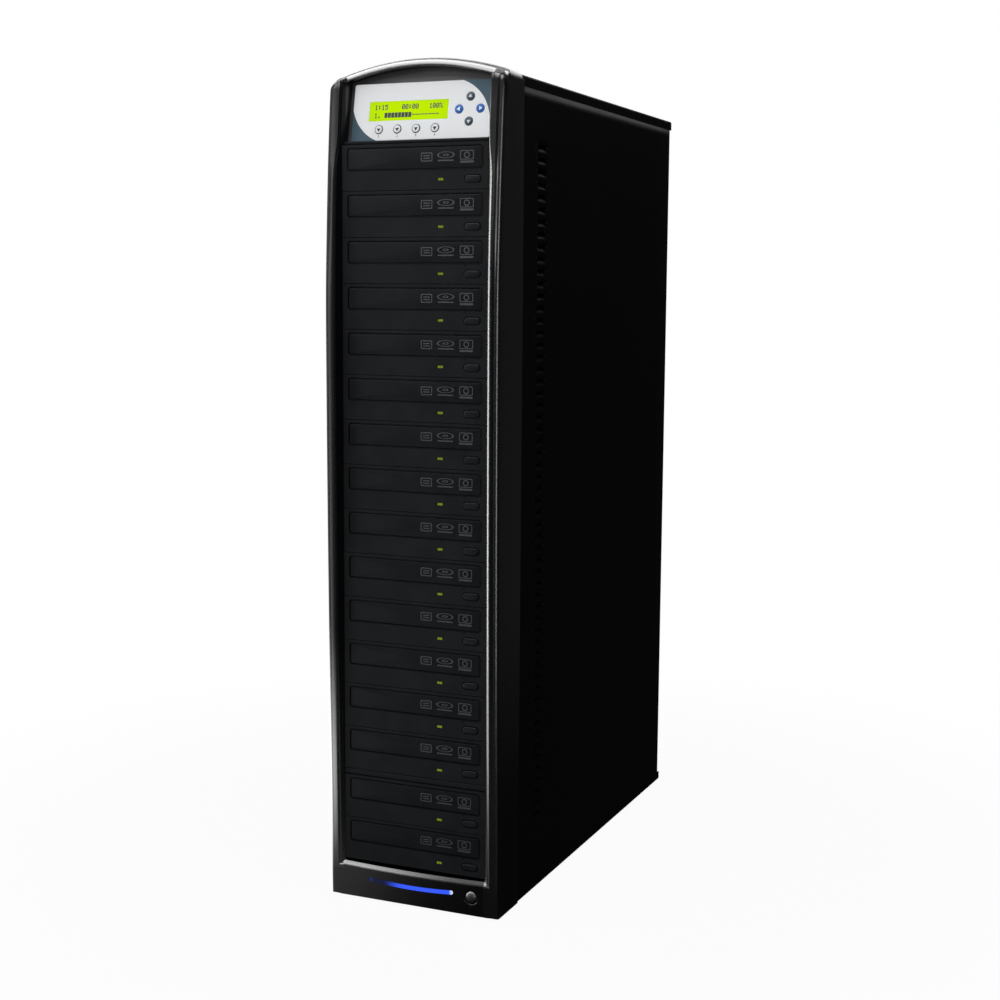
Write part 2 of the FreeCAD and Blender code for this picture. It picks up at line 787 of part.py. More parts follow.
def rim_channel(z_outer, z_edge):
    """Folded sheet across the case at height z_outer, with a flange down or up to z_edge on each side."""
    y_span = (Y_SEAM, Y_REAR)
    step = SHEET if z_edge > z_outer else -SHEET
    outer = box(both_sides(CASE_HALF), y_span, sorted((z_outer, z_edge)))
    outer = outer.makeFillet(FOLD_RADIUS, fold_edges(outer, z_outer, CASE_HALF))
    inner_half = CASE_HALF - SHEET
    inner_span = sorted((z_outer + step, z_edge + step))
    inner = box(both_sides(inner_half), (Y_SEAM - PAST, Y_REAR + PAST), inner_span)
    inner = inner.makeFillet(FOLD_RADIUS - SHEET, fold_edges(inner, z_outer + step, inner_half))
    return outer.cut(inner)


def fold_edges(shape, z, half):
    return edges_where(shape, lambda p: abs(p.z - z) < TOUCH and abs(abs(p.x) - half) < TOUCH)


def fan_middle(y):
    return Vector(0, y, Z_ROOF - FAN_DROP)


def fan_grille():
    """Level slots over the fan's duct, each as long as the duct is wide there."""
    radius = FAN_SIDE / 2 - FAN_RIM
    slots = []
    for index in range(GRILLE_SLOTS):
        rise = (index - (GRILLE_SLOTS - 1) / 2) * GRILLE_PITCH
        half = math.sqrt(radius ** 2 - (abs(rise) + GRILLE_SLOT / 2) ** 2)
        z = fan_middle(0).z + rise
        z_span = (z - GRILLE_SLOT / 2, z + GRILLE_SLOT / 2)
        slots.append(box(both_sides(half), (Y_INNER - PAST, Y_REAR + PAST), z_span))
    return slots


def psu_span():
    """Span of the power supply in X and in Z."""
    return both_sides(CASE_HALF - SHEET - PSU_SIDE_GAP), (Z_FLOOR, Z_FLOOR + PSU_HEIGHT)


def chassis_wrap():
    """Roof, floor and back of the case, folded from sheet, with the back's fan grille and supply cut-out."""
    roof = rim_channel(Z_ROOF, Z_ROOF - RIM_FLANGE)
    floor = rim_channel(Z_UNDER, Z_UNDER + RIM_FLANGE)
    back = box(
        both_sides(CASE_HALF - SHEET), (Y_INNER, Y_BACK_WALL), (Z_UNDER + SHEET / 2, Z_ROOF - SHEET / 2)
    )
    x_span, z_span = psu_span()
    cut_out = box(
        grown(x_span, -2 * PSU_FRAME), (Y_INNER - PAST, Y_REAR + PAST), grown(z_span, -2 * PSU_FRAME)
    )
    return roof.fuse([floor, back.cut(fan_grille() + [cut_out])])


def panel_span():
    """Foot and top of the side panels, between the rim flanges."""
    return Z_UNDER + RIM_FLANGE + PANEL_SEAM, Z_ROOF - RIM_FLANGE - PANEL_SEAM


def side_panel(side):
    """Sheet with a column of louvres pressed inwards and a rear flange that laps the back."""
    z_span = panel_span()
    y_front = Y_SEAM + PANEL_SEAM
    y_slot = (Y_SEAM + LOUVRE_SETBACK, Y_SEAM + LOUVRE_SETBACK + LOUVRE_LENGTH)
    outer, inner = side * CASE_HALF, side * (CASE_HALF - SHEET)
    sheet = box(sorted((outer, inner)), (y_front, Y_PANEL_END), z_span)
    flange = box(sorted((outer, side * (CASE_HALF - REAR_FLANGE))), (Y_BACK_WALL, Y_PANEL_END), z_span)
    slots, flaps = [], []
    for index in range(LOUVRE_COUNT):
        top = Z_ROOF - LOUVRE_DROP - index * LOUVRE_PITCH + LOUVRE_SLOT / 2
        foot = top - LOUVRE_SLOT
        slots.append(box(sorted((outer + side * PAST, inner - side * PAST)), y_slot, (foot, top)))
        pressed = Vector(-side * LOUVRE_DEPTH, 0, LOUVRE_SLOT)
        root = [Vector(outer, y_slot[0], foot), Vector(inner, y_slot[0], foot)]
        flaps.append(prism(root + [root[1] + pressed, root[0] + pressed], REARWARD * LOUVRE_LENGTH))
    return sheet.cut(slots).fuse(flaps + [flange]).removeSplitter()


def drive_cage():
    """Two upright plates beside the drives, each with a front flange that reaches the side panel."""
    plates = []
    x_plate = HOUSING_WIDTH / 2 + CAGE_GAP
    x_edge = CASE_HALF - SHEET - CAGE_GAP
    z_span = (Z_FLOOR, Z_ROOF - SHEET)
    for side in (-1, 1):
        plate_x = sorted((side * x_plate, side * (x_plate + SHEET)))
        plate = box(plate_x, (Y_SEAM, Y_SEAM + CAGE_DEPTH), z_span)
        flange_x = sorted((side * x_plate, side * x_edge))
        inner_z = grown(z_span, -RIM_FLANGE)
        plates.append(plate.fuse(box(flange_x, (Y_SEAM, Y_SEAM + SHEET), inner_z)).removeSplitter())
    return Part.makeCompound(plates)


def foot(x, y):
    half = FOOT_SIDE / 2
    pad = box((x - half, x + half), (y - half, y + half), (0, FOOT_HEIGHT))
    return pad.makeChamfer(FOOT_BEVEL, edges_where(pad, lambda p: abs(p.z) < TOUCH))


def feet():
    x = CASE_HALF - FOOT_INSET_X
    y_places = (Y_SEAM + FOOT_INSET_Y, Y_REAR - FOOT_INSET_Y)
    return Part.makeCompound([foot(a, b) for a in both_sides(x) for b in y_places])


# Power supply


def socket_x():
    """X of the mains inlet and its switch, near the supply's left-hand end seen from behind."""
    return psu_span()[0][1] - SOCKET_INSET


def rocker_pivot(x):
    return Vector(x, Y_INNER - ROCKER_CREST, Z_FLOOR + ROCKER_LINE)


def psu_housing():
    """Sheet case with a solid socket block at its back and a hole for cables at its front."""
    x_span, z_span = psu_span()
    y_front = Y_INNER - PSU_DEPTH
    body = box(x_span, (y_front, Y_INNER), z_span)
    room_y = (y_front + SHEET, Y_INNER - PSU_SOCKET_BLOCK)
    room = box(grown(x_span, -SHEET), room_y, grown(z_span, -SHEET))
    z_exit = (z_span[1] - 2 * PSU_CABLE_EXIT, z_span[1] - PSU_CABLE_EXIT)
    cable_exit = box(both_sides(PSU_CABLE_EXIT), (y_front - PAST, room_y[1]), z_exit)
    body = body.cut([room, cable_exit])
    x = socket_x()
    z_inlet = Z_FLOOR + INLET_LINE
    half_x, half_z = INLET_WIDTH / 2 + SEAT_GAP, INLET_HEIGHT / 2 + SEAT_GAP
    cuts = [
        box((x - half_x, x + half_x), (Y_INNER - INLET_DEPTH, Y_INNER + PAST), (z_inlet - half_z, z_inlet + half_z))
    ]
    pivot = rocker_pivot(x)
    half_x, half_z = ROCKER_WIDTH / 2 + ROCKER_GAP, ROCKER_REACH + 2 * ROCKER_GAP
    y_pocket = pivot.y - ROCKER_REACH - ROCKER_GAP
    cuts.append(box((x - half_x, x + half_x), (y_pocket, Y_INNER + PAST), (pivot.z - half_z, pivot.z + half_z)))
    reach = half_x + ROCKER_PIN_LENGTH
    cuts.append(peg(ROCKER_PIN + RUNNING_GAP, rocker_pivot(x - reach), ACROSS, 2 * reach))
    vent_z = grown(z_span, -PSU_VENT_MARGIN)
    vent_y = (Y_INNER - PSU_VENT_DEPTH, Y_INNER + PAST)
    for index in range(PSU_VENTS):
        left = x_span[0] + PSU_VENT_MARGIN + index * PSU_VENT_PITCH
        cuts.append(box((left, left + PSU_VENT_WIDTH), vent_y, vent_z))
    return body.cut(cuts)


def psu_inlet():
    """Mains inlet: a socket with two cut corners and three prongs."""
    x, z = socket_x(), Z_FLOOR + INLET_LINE
    half_x, half_z = INLET_WIDTH / 2, INLET_HEIGHT / 2
    y_floor = Y_INNER - INLET_DEPTH
    body = box((x - half_x, x + half_x), (y_floor, Y_INNER), (z - half_z, z + half_z))
    wide, tall = half_x - INLET_WALL, half_z - INLET_WALL
    outline = [
        (-wide, -tall),
        (wide, -tall),
        (wide, tall - INLET_CHAMFER),
        (wide - INLET_CHAMFER, tall),
        (INLET_CHAMFER - wide, tall),
        (-wide, tall - INLET_CHAMFER),
    ]
    y_socket = y_floor + INLET_FLOOR
    socket = prism([Vector(x + a, y_socket, z + b) for a, b in outline], REARWARD * (INLET_DEPTH + PAST))
    prongs = []
    for across, up in ((-PRONG_PITCH, -PRONG_HEIGHT / 2), (0, PRONG_HEIGHT / 2), (PRONG_PITCH, -PRONG_HEIGHT / 2)):
        x_span = (x + across - PRONG_WIDTH / 2, x + across + PRONG_WIDTH / 2)
        z_span = (z + up - PRONG_HEIGHT / 2, z + up + PRONG_HEIGHT / 2)
        prongs.append(box(x_span, (y_socket, y_socket + PRONG_LENGTH), z_span))
    return body.cut(socket).fuse(prongs)


def psu_rocker():
    """Rocker on its pin, tipped to one side."""
    x = socket_x()
    pivot = rocker_pivot(x - ROCKER_WIDTH / 2)
    slope = ROCKER_REACH * math.tan(math.radians(ROCKER_TILT))
    tall = math.sqrt(ROCKER_REACH ** 2 - ROCKER_CREST ** 2)
    root = math.sqrt(ROCKER_REACH ** 2 - ROCKER_ROOT ** 2)
    outline = [(-ROCKER_ROOT, -root), (ROCKER_CREST - slope, -tall), (ROCKER_CREST, 0)]
    outline += [(ROCKER_CREST - slope, tall), (-ROCKER_ROOT, root)]
    rocker = prism([pivot + Vector(0, a, b) for a, b in outline], ACROSS * ROCKER_WIDTH)
    reach = ROCKER_WIDTH / 2 + ROCKER_GAP + ROCKER_PIN_LENGTH - RUNNING_GAP
    rocker = rocker.fuse(peg(ROCKER_PIN, rocker_pivot(x - reach), ACROSS, 2 * reach))
    rocker.rotate(pivot, ACROSS, -ROCKER_TILT)
    return rocker


# Exhaust fan


def fan_frame():
    """Square frame with a round duct, a motor seat and four struts beside the grille."""
    half = FAN_SIDE / 2
    middle = fan_middle(0)
    y_front = Y_INNER - FAN_DEPTH
    frame = box(both_sides(half), (y_front, Y_INNER), (middle.z - half, middle.z + half))
    duct = drum(half - FAN_RIM, DUCT_SIDES, fan_middle(y_front - PAST), REARWARD, FAN_DEPTH + 2 * PAST)
    y_strut = (Y_INNER - STRUT_DEPTH, Y_INNER)
    reach = both_sides(half - FAN_RIM / 2)
    narrow = both_sides(STRUT_WIDTH / 2)
    struts = [
        box(reach, y_strut, (middle.z + narrow[0], middle.z + narrow[1])),
        box(narrow, y_strut, (middle.z + reach[0], middle.z + reach[1])),
        drum(HUB_RADIUS, HUB_SIDES, fan_middle(y_strut[0]), REARWARD, STRUT_DEPTH),
    ]
    bearing = peg(SHAFT_RADIUS + RUNNING_GAP, fan_middle(y_strut[0] - PAST), REARWARD, STRUT_DEPTH + 2 * PAST)
    return frame.cut(duct).fuse(struts).cut(bearing)


def fan_rotor():
    """Hub on a shaft, with flat blades set round it."""
    y_front = Y_INNER - FAN_DEPTH + SEAT_GAP
    y_hub_end = Y_INNER - STRUT_DEPTH - SEAT_GAP
    length = y_hub_end - y_front
    tip = math.sqrt((FAN_SIDE / 2 - FAN_RIM - TIP_GAP) ** 2 - (BLADE_CHORD / 2) ** 2)
    blades = []
    for index in range(BLADE_COUNT):
        blade = box(both_sides(BLADE_CHORD / 2), both_sides(BLADE_SKIN / 2), (HUB_RADIUS / 2, tip))
        blade.rotate(Vector(0, 0, 0), UPWARD, 90 - BLADE_TWIST)
        blade.rotate(Vector(0, 0, 0), REARWARD, index * 360 / BLADE_COUNT)
        blade.translate(fan_middle((y_front + y_hub_end) / 2))
        blades.append(blade)
    hub = drum(HUB_RADIUS, HUB_SIDES, fan_middle(y_front), REARWARD, length)
    shaft = peg(SHAFT_RADIUS, fan_middle(y_front), REARWARD, length + STRUT_DEPTH)
    return hub.fuse(blades + [shaft])


def pieces():
    """Every node's name with its shape."""
    bays = range(1, BAY_COUNT + 1)
    nodes = {
        "front_bezel": front_bezel(),
        "control_fascia": control_fascia(),
        "lcd_module": lcd_module(),
        "control_board": control_board(),
        "light_bar": light_bar(),
        "power_button": power_button(),
        "chassis_wrap": chassis_wrap(),
        "side_panel_left": side_panel(-1),
        "side_panel_right": side_panel(1),
        "drive_cage": drive_cage(),
        "drive_housings": Part.makeCompound([housing(bay) for bay in bays]),
        "drive_faceplates": Part.makeCompound([faceplate(bay) for bay in bays]),
        "drive_lights": Part.makeCompound([light_block(bay, 0.0, (Y_DRIVE, Y_HOUSING)) for bay in bays]),
        "feet": feet(),
        "psu_housing": psu_housing(),
        "psu_inlet": psu_inlet(),
        "psu_rocker": psu_rocker(),
        "fan_frame": fan_frame(),
        "fan_rotor": fan_rotor(),
    }
    for name, place in key_places().items():
        nodes[name] = key(place)
    for bay in bays:
        nodes[f"tray_{bay:02d}"] = tray(bay)
        nodes[f"eject_button_{bay:02d}"] = eject_button(bay)
    return nodes


os.makedirs("parts", exist_ok=True)
for node, shape in pieces().items():
    shape.exportStep(f"parts/{node}.step")
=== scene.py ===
import math

import bmesh
import bpy
import numpy as np
from bpy.props import FloatProperty, FloatVectorProperty, PointerProperty
from mathutils import Matrix, Vector


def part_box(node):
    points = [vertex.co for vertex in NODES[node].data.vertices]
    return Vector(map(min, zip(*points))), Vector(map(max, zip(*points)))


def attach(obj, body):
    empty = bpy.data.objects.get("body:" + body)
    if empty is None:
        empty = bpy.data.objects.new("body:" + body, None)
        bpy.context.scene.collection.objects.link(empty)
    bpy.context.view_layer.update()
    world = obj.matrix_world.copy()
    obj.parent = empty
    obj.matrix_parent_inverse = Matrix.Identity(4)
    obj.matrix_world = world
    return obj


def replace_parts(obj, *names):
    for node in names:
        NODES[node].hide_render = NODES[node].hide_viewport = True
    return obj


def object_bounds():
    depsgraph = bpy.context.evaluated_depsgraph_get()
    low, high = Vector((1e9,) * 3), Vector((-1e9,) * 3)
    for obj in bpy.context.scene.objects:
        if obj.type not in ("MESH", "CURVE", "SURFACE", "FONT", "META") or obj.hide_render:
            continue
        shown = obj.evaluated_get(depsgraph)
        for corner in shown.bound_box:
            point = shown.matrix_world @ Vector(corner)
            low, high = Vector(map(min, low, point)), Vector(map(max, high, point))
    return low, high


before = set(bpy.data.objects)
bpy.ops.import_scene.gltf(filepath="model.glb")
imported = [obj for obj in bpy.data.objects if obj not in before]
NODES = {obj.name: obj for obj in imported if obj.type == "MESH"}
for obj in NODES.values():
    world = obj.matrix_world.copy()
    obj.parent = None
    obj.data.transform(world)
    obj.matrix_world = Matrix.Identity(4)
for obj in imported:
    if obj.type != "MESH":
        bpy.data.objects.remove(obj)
CAD_BOX = [list(corner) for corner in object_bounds()]

bl_info = {
    "name": "Tower disc duplicator",
    "version": (1, 0, 0),
    "blender": (4, 5, 0),
    "location": "3D View > Sidebar > Duplicator",
    "description": "Dresses the tower's solids with its moulded front, panels, keys and finishes",
    "category": "Add Mesh",
}


def span(node):
    """Lowest and highest corner of a solid, as arrays."""
    return tuple(np.array(corner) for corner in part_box(node))

def middle_of(node):
    """Middle of a solid's box."""
    low, high = span(node)
    return (low + high) / 2.0


BEZEL_LOW, BEZEL_HIGH = span("front_bezel")
FACE_LOW, FACE_HIGH = span("drive_faceplates")
PANEL_LOW, PANEL_HIGH = span("control_fascia")
WRAP_LOW, WRAP_HIGH = span("chassis_wrap")
BAYS = range(1, 17)

# The bezel's own measures: its opening, arch, bow and the leaning control panel
OPENING_HALF = 0.0745
SHOULDER = WRAP_HIGH[2] + 0.001
# The arch's rise from the shoulder to above the opening's side, and from there to its crown
SIDE_RISE, HEAD_RISE = 0.00464, 0.01086
BULGE = BEZEL_LOW[2] + 0.560
BASE_FALL = 0.0075
CROWN_FALL = 0.0130
CROWN = SHOULDER + 0.0155
TILT = math.radians(10.4)
PANEL_RISE = 0.053
PANEL_UP = np.array([0.0, math.sin(TILT), math.cos(TILT)])
PANEL_OUT = np.array([0.0, -math.cos(TILT), math.sin(TILT)])
PANEL_FOOT = np.array([0.0, PANEL_LOW[1], PANEL_HIGH[2] - PANEL_RISE * math.cos(TILT)])
ACROSS = np.array([1.0, 0.0, 0.0])
REARWARD = np.array([0.0, 1.0, 0.0])
FORWARD = np.array([0.0, -1.0, 0.0])
WHITE = (1.0, 1.0, 1.0)
# Angle past which an edge stays sharp, and distance below which points are one
SHARP_ANGLE = math.radians(38.0)
WELD = 2e-7


def colour(label, words, red, green, blue):
    """A colour that the user can change."""
    return FloatVectorProperty(name=label, description=words, subtype="COLOR", size=3,
                               min=0.0, max=1.0, default=(red, green, blue))


def length(label, words, value):
    """A length in metres that the user can change."""
    return FloatProperty(name=label, description=words, default=value, unit="LENGTH", precision=4)


class DuplicatorSizes(bpy.types.PropertyGroup):
    """Sizes of the dressed pieces."""
    edge_round: length("Edge rounding", "Radius of the bezel's outer edge", 0.0040)
    shoulder_round: length("Shoulder rounding", "Radius of the bezel's two upper corners", 0.0070)
    flank_width: length("Flank width", "Width of the splayed flanks beside the drives", 0.0058)
    sill_width: length("Sill width", "Height of the splayed flank below the drives", 0.0044)
    land_fall: length("Land fall", "How far a pillar's front falls away outwards", 0.0012)
    tip_top: length("Tip top", "How far a pillar's tip stays below the bezel's outline", 0.0042)
    tip_drop: length("Tip drop", "Height over which a pillar's tip is domed", 0.0055)
    lip_width: length("Lip width", "Width of the slanted lip at a pillar's inner edge", 0.0029)
    lip_depth: length("Lip depth", "Depth of the slanted lip at a pillar's inner edge", 0.00135)
    header_drop: length("Header height", "Height of the header above the opening", 0.0094)
    header_recess: length("Header recess", "How far the header lies behind the pillar tips", 0.0080)
    header_roll: length("Header roll", "How far the header's front rolls back", 0.0150)
    dish_depth: length("Dish depth", "How deep the dish round the power button is", 0.0016)
    scoop_depth: length("Scoop depth", "How far a louvre is pressed into the side panel", 0.0036)
    key_proud: length("Key height", "How far a key stands in front of the control panel", 0.0007)
    key_round: length("Key edge", "Rounding of a key's edge", 0.0006)
    eject_round: length("Eject edge", "Rounding of an eject button's edge", 0.0006)
    door_corner: length("Door corner", "Radius of a tray door's corners", 0.0020)
    door_edge: length("Door edge", "Rounding of a tray door's front edge", 0.0006)
    # The dark lip round a door is painted shade of the gap round it
    gap_shade_width: length("Gap shade width", "Width of the lip round a tray door", 0.0011)
    dot_pitch: length("Dot pitch", "Distance between the dots of the display", 0.00058)


class DuplicatorColours(bpy.types.PropertyGroup):
    """Colours of the finishes."""
    bezel: colour("Bezel", "Moulded front bezel", 0.0030, 0.0030, 0.0031)
    drive: colour("Drive front", "Faceplates of the drives", 0.0078, 0.0092, 0.0104)
    door: colour("Tray door", "Doors and carriers of the trays", 0.0064, 0.0075, 0.0085)
    steel: colour("Case steel", "Painted case steel", 0.0015, 0.0015, 0.0016)
    zinc: colour("Bare steel", "Plated inner steel", 0.42, 0.43, 0.44)
    fascia: colour("Control panel", "Pale field of the control panel", 0.615, 0.625, 0.640)
    corner: colour("Panel corners", "Slate corners of the control panel", 0.046, 0.082, 0.108)
    display: colour("Display", "Lit field of the display", 0.56, 0.88, 0.002)
    # Painted shade: this near-black stands for the shade in the gaps round the tray doors and eject
    # buttons and in the pin holes
    lip: colour("Gap shade", "Lips round the tray doors and eject buttons", 0.0008, 0.0008, 0.0009)
    mark: colour("Door signs", "Plain signs on the tray doors", 0.030, 0.030, 0.031)
    inner: colour("Recess", "Wall behind the control panel", 0.034, 0.034, 0.035)
    ink: colour("Ink", "Dots of the display and printed marks", 0.010, 0.016, 0.010)
    navy: colour("Arrow keys", "Upper and lower arrow keys", 0.028, 0.052, 0.076)
    blue: colour("Side keys", "Left and right arrow keys", 0.004, 0.110, 0.42)
    glow: colour("Light bar", "Light bar in the base", 0.035, 0.10, 0.95)
    activity: colour("Activity light", "Activity light of a drive", 0.22, 0.34, 0.010)
    rubber: colour("Rubber", "Feet", 0.012, 0.012, 0.012)
    board: colour("Circuit board", "Board behind the keys", 0.01, 0.09, 0.03)


class Flow:
    """A socket that takes part in Python sums: each sum adds one Math node."""

    def __init__(self, finish, socket):
        self.finish = finish
        self.socket = socket

    def maths(self, operation, *values):
        return self.finish.node("ShaderNodeMath", {"operation": operation}, dict(enumerate(values)))

    def __add__(self, other):
        return self.maths("ADD", self, other)

    def __radd__(self, other):
        return self.maths("ADD", other, self)

    def __sub__(self, other):
        return self.maths("SUBTRACT", self, other)

    def __rsub__(self, other):
        return self.maths("SUBTRACT", other, self)

    def __mul__(self, other):
        return self.maths("MULTIPLY", self, other)

    def __rmul__(self, other):
        return self.maths("MULTIPLY", other, self)

    def __truediv__(self, other):
        return self.maths("DIVIDE", self, other)

    def __pow__(self, other):
        return self.maths("POWER", self, other)

    def __abs__(self):
        return self.maths("ABSOLUTE", self)

    def least(self, other):
        return self.maths("MINIMUM", self, other)

    def most(self, other):
        return self.maths("MAXIMUM", self, other)

    def fract(self):
        return self.maths("FRACT", self)

    def ease(self, start, end):
        """0 before start and 1 after end, with a smooth step between."""
        return self.finish.node("ShaderNodeMapRange", {"interpolation_type": "SMOOTHSTEP"},
                                {"Value": self, "From Min": start, "From Max": end})


class Finish:
    """A material or world whose nodes are written as sums of flows."""

    def __init__(self, owner):
        self.owner = owner
        owner.use_nodes = True
        self.tree = owner.node_tree
        self.tree.nodes.clear()

    def node(self, kind, settings=None, sockets=None, output=0):
        """Adds a node: its settings first, then its sockets' values or links."""
        made = self.tree.nodes.new(kind)
        for name, value in (settings or {}).items():
            setattr(made, name, value)
        for name, value in (sockets or {}).items():
            if isinstance(value, Flow):
                self.tree.links.new(value.socket, made.inputs[name])
            else:
                made.inputs[name].default_value = value
        return Flow(self, made.outputs[output]) if made.outputs else None

    def place(self):
        """The X, Y and Z of the point on the piece, as three flows."""
        point = self.node("ShaderNodeTexCoord", output="Object")
        return [self.node("ShaderNodeSeparateXYZ", None, {0: point}, axis) for axis in "XYZ"]

    def chart(self):
        """The two coordinates of the piece's own map, as two flows."""
        point = self.node("ShaderNodeTexCoord", output="UV")
        return [self.node("ShaderNodeSeparateXYZ", None, {0: point}, axis) for axis in "XY"]

    def grain(self, scale, detail=2.0, stretch=None):
        """Fine noise on the piece's own coordinates, about 0.5 on average."""
        point = self.node("ShaderNodeTexCoord", output="Object")
        if stretch:
            point = self.node("ShaderNodeVectorMath", {"operation": "MULTIPLY"},
                              {0: point, 1: stretch})
        return self.node("ShaderNodeTexNoise", None,
                         {"Vector": point, "Scale": scale, "Detail": detail})

    def mix(self, share, first, second):
        """Colour between two colours."""
        from_shade, to_shade = [value if isinstance(value, Flow) else (*value, 1.0)
                                for value in (first, second)]
        return self.node("ShaderNodeMix", {"data_type": "RGBA"},
                         {0: share, 6: from_shade, 7: to_shade}, 2)

    def bump(self, height, strength, distance):
        """The normal of a surface that swells by a height."""
        return self.node("ShaderNodeBump", None,
                         {"Height": height, "Strength": strength, "Distance": distance})

    def surface(self, **sockets):
        """The main shader; an underscore in a socket's name stands for a space."""
        named = {name.replace("_", " "): value for name, value in sockets.items()}
        for name in ("Base Color", "Emission Color"):
            if name in named and not isinstance(named[name], Flow):
                named[name] = (*named[name], 1.0)
        shader = self.node("ShaderNodeBsdfPrincipled", None, named)
        self.node("ShaderNodeOutputMaterial", None, {"Surface": shader})
        return self.owner

    def rays(self):
        """Two flows: 1 for rays from the camera or through glass, and 1 for rays off gloss."""
        camera, gloss, through = [
            self.node("ShaderNodeLightPath", output=word)
            for word in ("Is Camera Ray", "Is Glossy Ray", "Is Transmission Ray")]
        return camera.most(through), gloss

    def shining(self, kind, strength, shade=WHITE):
        """A shader that only shines, of an emission's or a background's kind."""
        return self.node(kind, None, {"Color": (*shade, 1.0), "Strength": strength})

    def blend(self, share, first, second):
        """Shader between two shaders."""
        return self.node("ShaderNodeMixShader", None, {0: share, 1: first, 2: second})


def finish(name):
    """A new material, ready for its nodes."""
    return Finish(bpy.data.materials.new(name))


def shades():
    return bpy.context.scene.duplicator_colours


def sizes():
    return bpy.context.scene.duplicator_sizes


def scaled(shade, share):
    """A colour made lighter or darker by a share."""
    return tuple(min(1.0, value * share) for value in shade)


def worn(made, shade, roughness, grain_scale, depth):
    """Sockets of moulded plastic: a spark-eroded grain in the surface, with slightly worn and
    slightly polished patches."""
    grain = made.grain(grain_scale, 3.0)
    patch = made.grain(38.0, 2.0)
    return {"Base_Color": made.mix(patch.ease(0.35, 0.7), shade, scaled(shade, 1.22)),
            "Roughness": roughness + 0.10 * (patch - 0.5) + 0.06 * (grain - 0.5),
            "Normal": made.bump(grain, 0.35, depth)}


# Roughness, specular level, grain size and grain depth of each moulded plastic
MOULDINGS = {
    "bezel_inner": (0.45, 0.20, 0.00042, 0.00004),
    "bar_black": (0.55, 0.03, 0.00042, 0.00004),
    "foot_rubber": (0.75, 0.20, 0.00060, 0.00006),
    "socket_black": (0.42, 0.30, 0.00040, 0.00004),
    "fan_black": (0.50, 0.30, 0.00050, 0.00004),
    "drive_front": (0.50, 0.03, 0.00038, 0.00005),
    "tray_black": (0.48, 0.03, 0.00038, 0.00005),
    "eject_black": (0.40, 0.06, 0.00038, 0.00003),
    # Painted shade: near-black for the lip round each door and eject button and for the pin holes
    "gap_shade_black": (0.60, 0.03, 0.00038, 0.00003),
    "power_gloss": (0.42, 0.80, 0.00090, 0.000004),
}


def moulded(name, shade):
    """One of the moulded plastics: worn grain with a gloss of its own."""
    made = finish(name)
    roughness, specular, grain_size, depth = MOULDINGS[name]
    sockets = worn(made, shade, roughness, 1.0 / grain_size, depth)
    return made.surface(Specular_IOR_Level=specular, **sockets)


def lacquered(name, shade):
    """Moulded plastic under a lacquer. It is full on the header, on the pillars' feet and on the
    right pillar's lip and edge, and thinner on the base, the sill and the pillars' tips. It is
    missing on the left pillar and side, on the right pillar's land and low on the right side."""
    made = finish(name)
    across, depth, height = made.place()
    leftward = 0.0 - across
    crown = float(SHOULDER)
    header = float(BEZEL_LOW[1]) + CROWN_FALL + sizes().header_recess
    # Where each zone fades in: distances from the middle, then heights, then the header's depth
    pillar, tip, land, rim = (0.0735, 0.0750), (0.0735, 0.0755), (0.0812, 0.0826), (0.0838, 0.0846)
    flat_side = (0.0880, 0.0886)
    below_tip, tip_rise = (crown - 0.012, crown - 0.004), (crown - 0.035, crown - 0.010)
    base_top, sill_top = (0.029, 0.032), (0.0450, 0.0465)
    pillar_rise, side_rise = (0.10, 0.28), (0.08, 0.30)
    set_back = (header - 0.004, header - 0.001)
    left = leftward.ease(*pillar) * (1.0 - height.ease(*below_tip))
    right = across.ease(*land) * (1.0 - across.ease(*rim))
    tips = abs(across).ease(*tip) * height.ease(*tip_rise)
    sill = (1.0 - height.ease(*sill_top)) * (1.0 - abs(across).ease(*pillar))
    dull = (left.most(right) * height.ease(*pillar_rise)).most(0.6 * tips)
    dull = dull.most((0.25 + 0.65 * across.ease(-0.08, 0.06)) * sill)
    dull = dull * (1.0 - depth.ease(*set_back))
    side = across.ease(*flat_side) * (1.0 - height.ease(*side_rise))
    side = side.most(leftward.ease(*flat_side))
    dull = dull.most(0.3 * (1.0 - height.ease(*base_top))).most(side)
    return made.surface(
        Specular_IOR_Level=0.04,
        Coat_Weight=1.0 - dull,
        Coat_Roughness=0.27,
        **worn(made, shade, 0.34, 2400.0, 0.00004))


def painted_steel(name, shade):
    """Powder paint on sheet: a low orange-peel swell under a fine tooth."""
    made = finish(name)
    peel = made.grain(420.0, 1.0)
    tooth = made.grain(2600.0, 2.0)
    patch = made.grain(9.0, 3.0)
    return made.surface(
        Base_Color=made.mix(patch.ease(0.3, 0.75), shade, scaled(shade, 1.35)),
        Roughness=0.46 + 0.10 * (patch - 0.5),
        Specular_IOR_Level=0.05,
        Normal=made.bump(peel + 0.35 * tooth, 0.30, 0.00012))


def plated_steel(name, shade):
    """Zinc-plated sheet: faint spangle and rolling lines."""
    made = finish(name)
    point = made.node("ShaderNodeTexCoord", output="Object")
    spangle = made.node("ShaderNodeTexVoronoi", None, {"Vector": point, "Scale": 90.0}, "Color")
    rolled = made.grain(60.0, 3.0, (1.0, 1.0, 22.0))
    tone = made.node("ShaderNodeSeparateXYZ", None, {0: spangle}, "X")
    return made.surface(
        Base_Color=made.mix(tone, scaled(shade, 0.82), shade),
        Metallic=1.0,
        Roughness=0.34 + 0.14 * (rolled - 0.5) + 0.06 * (tone - 0.5),
        Normal=made.bump(rolled, 0.12, 0.00005))


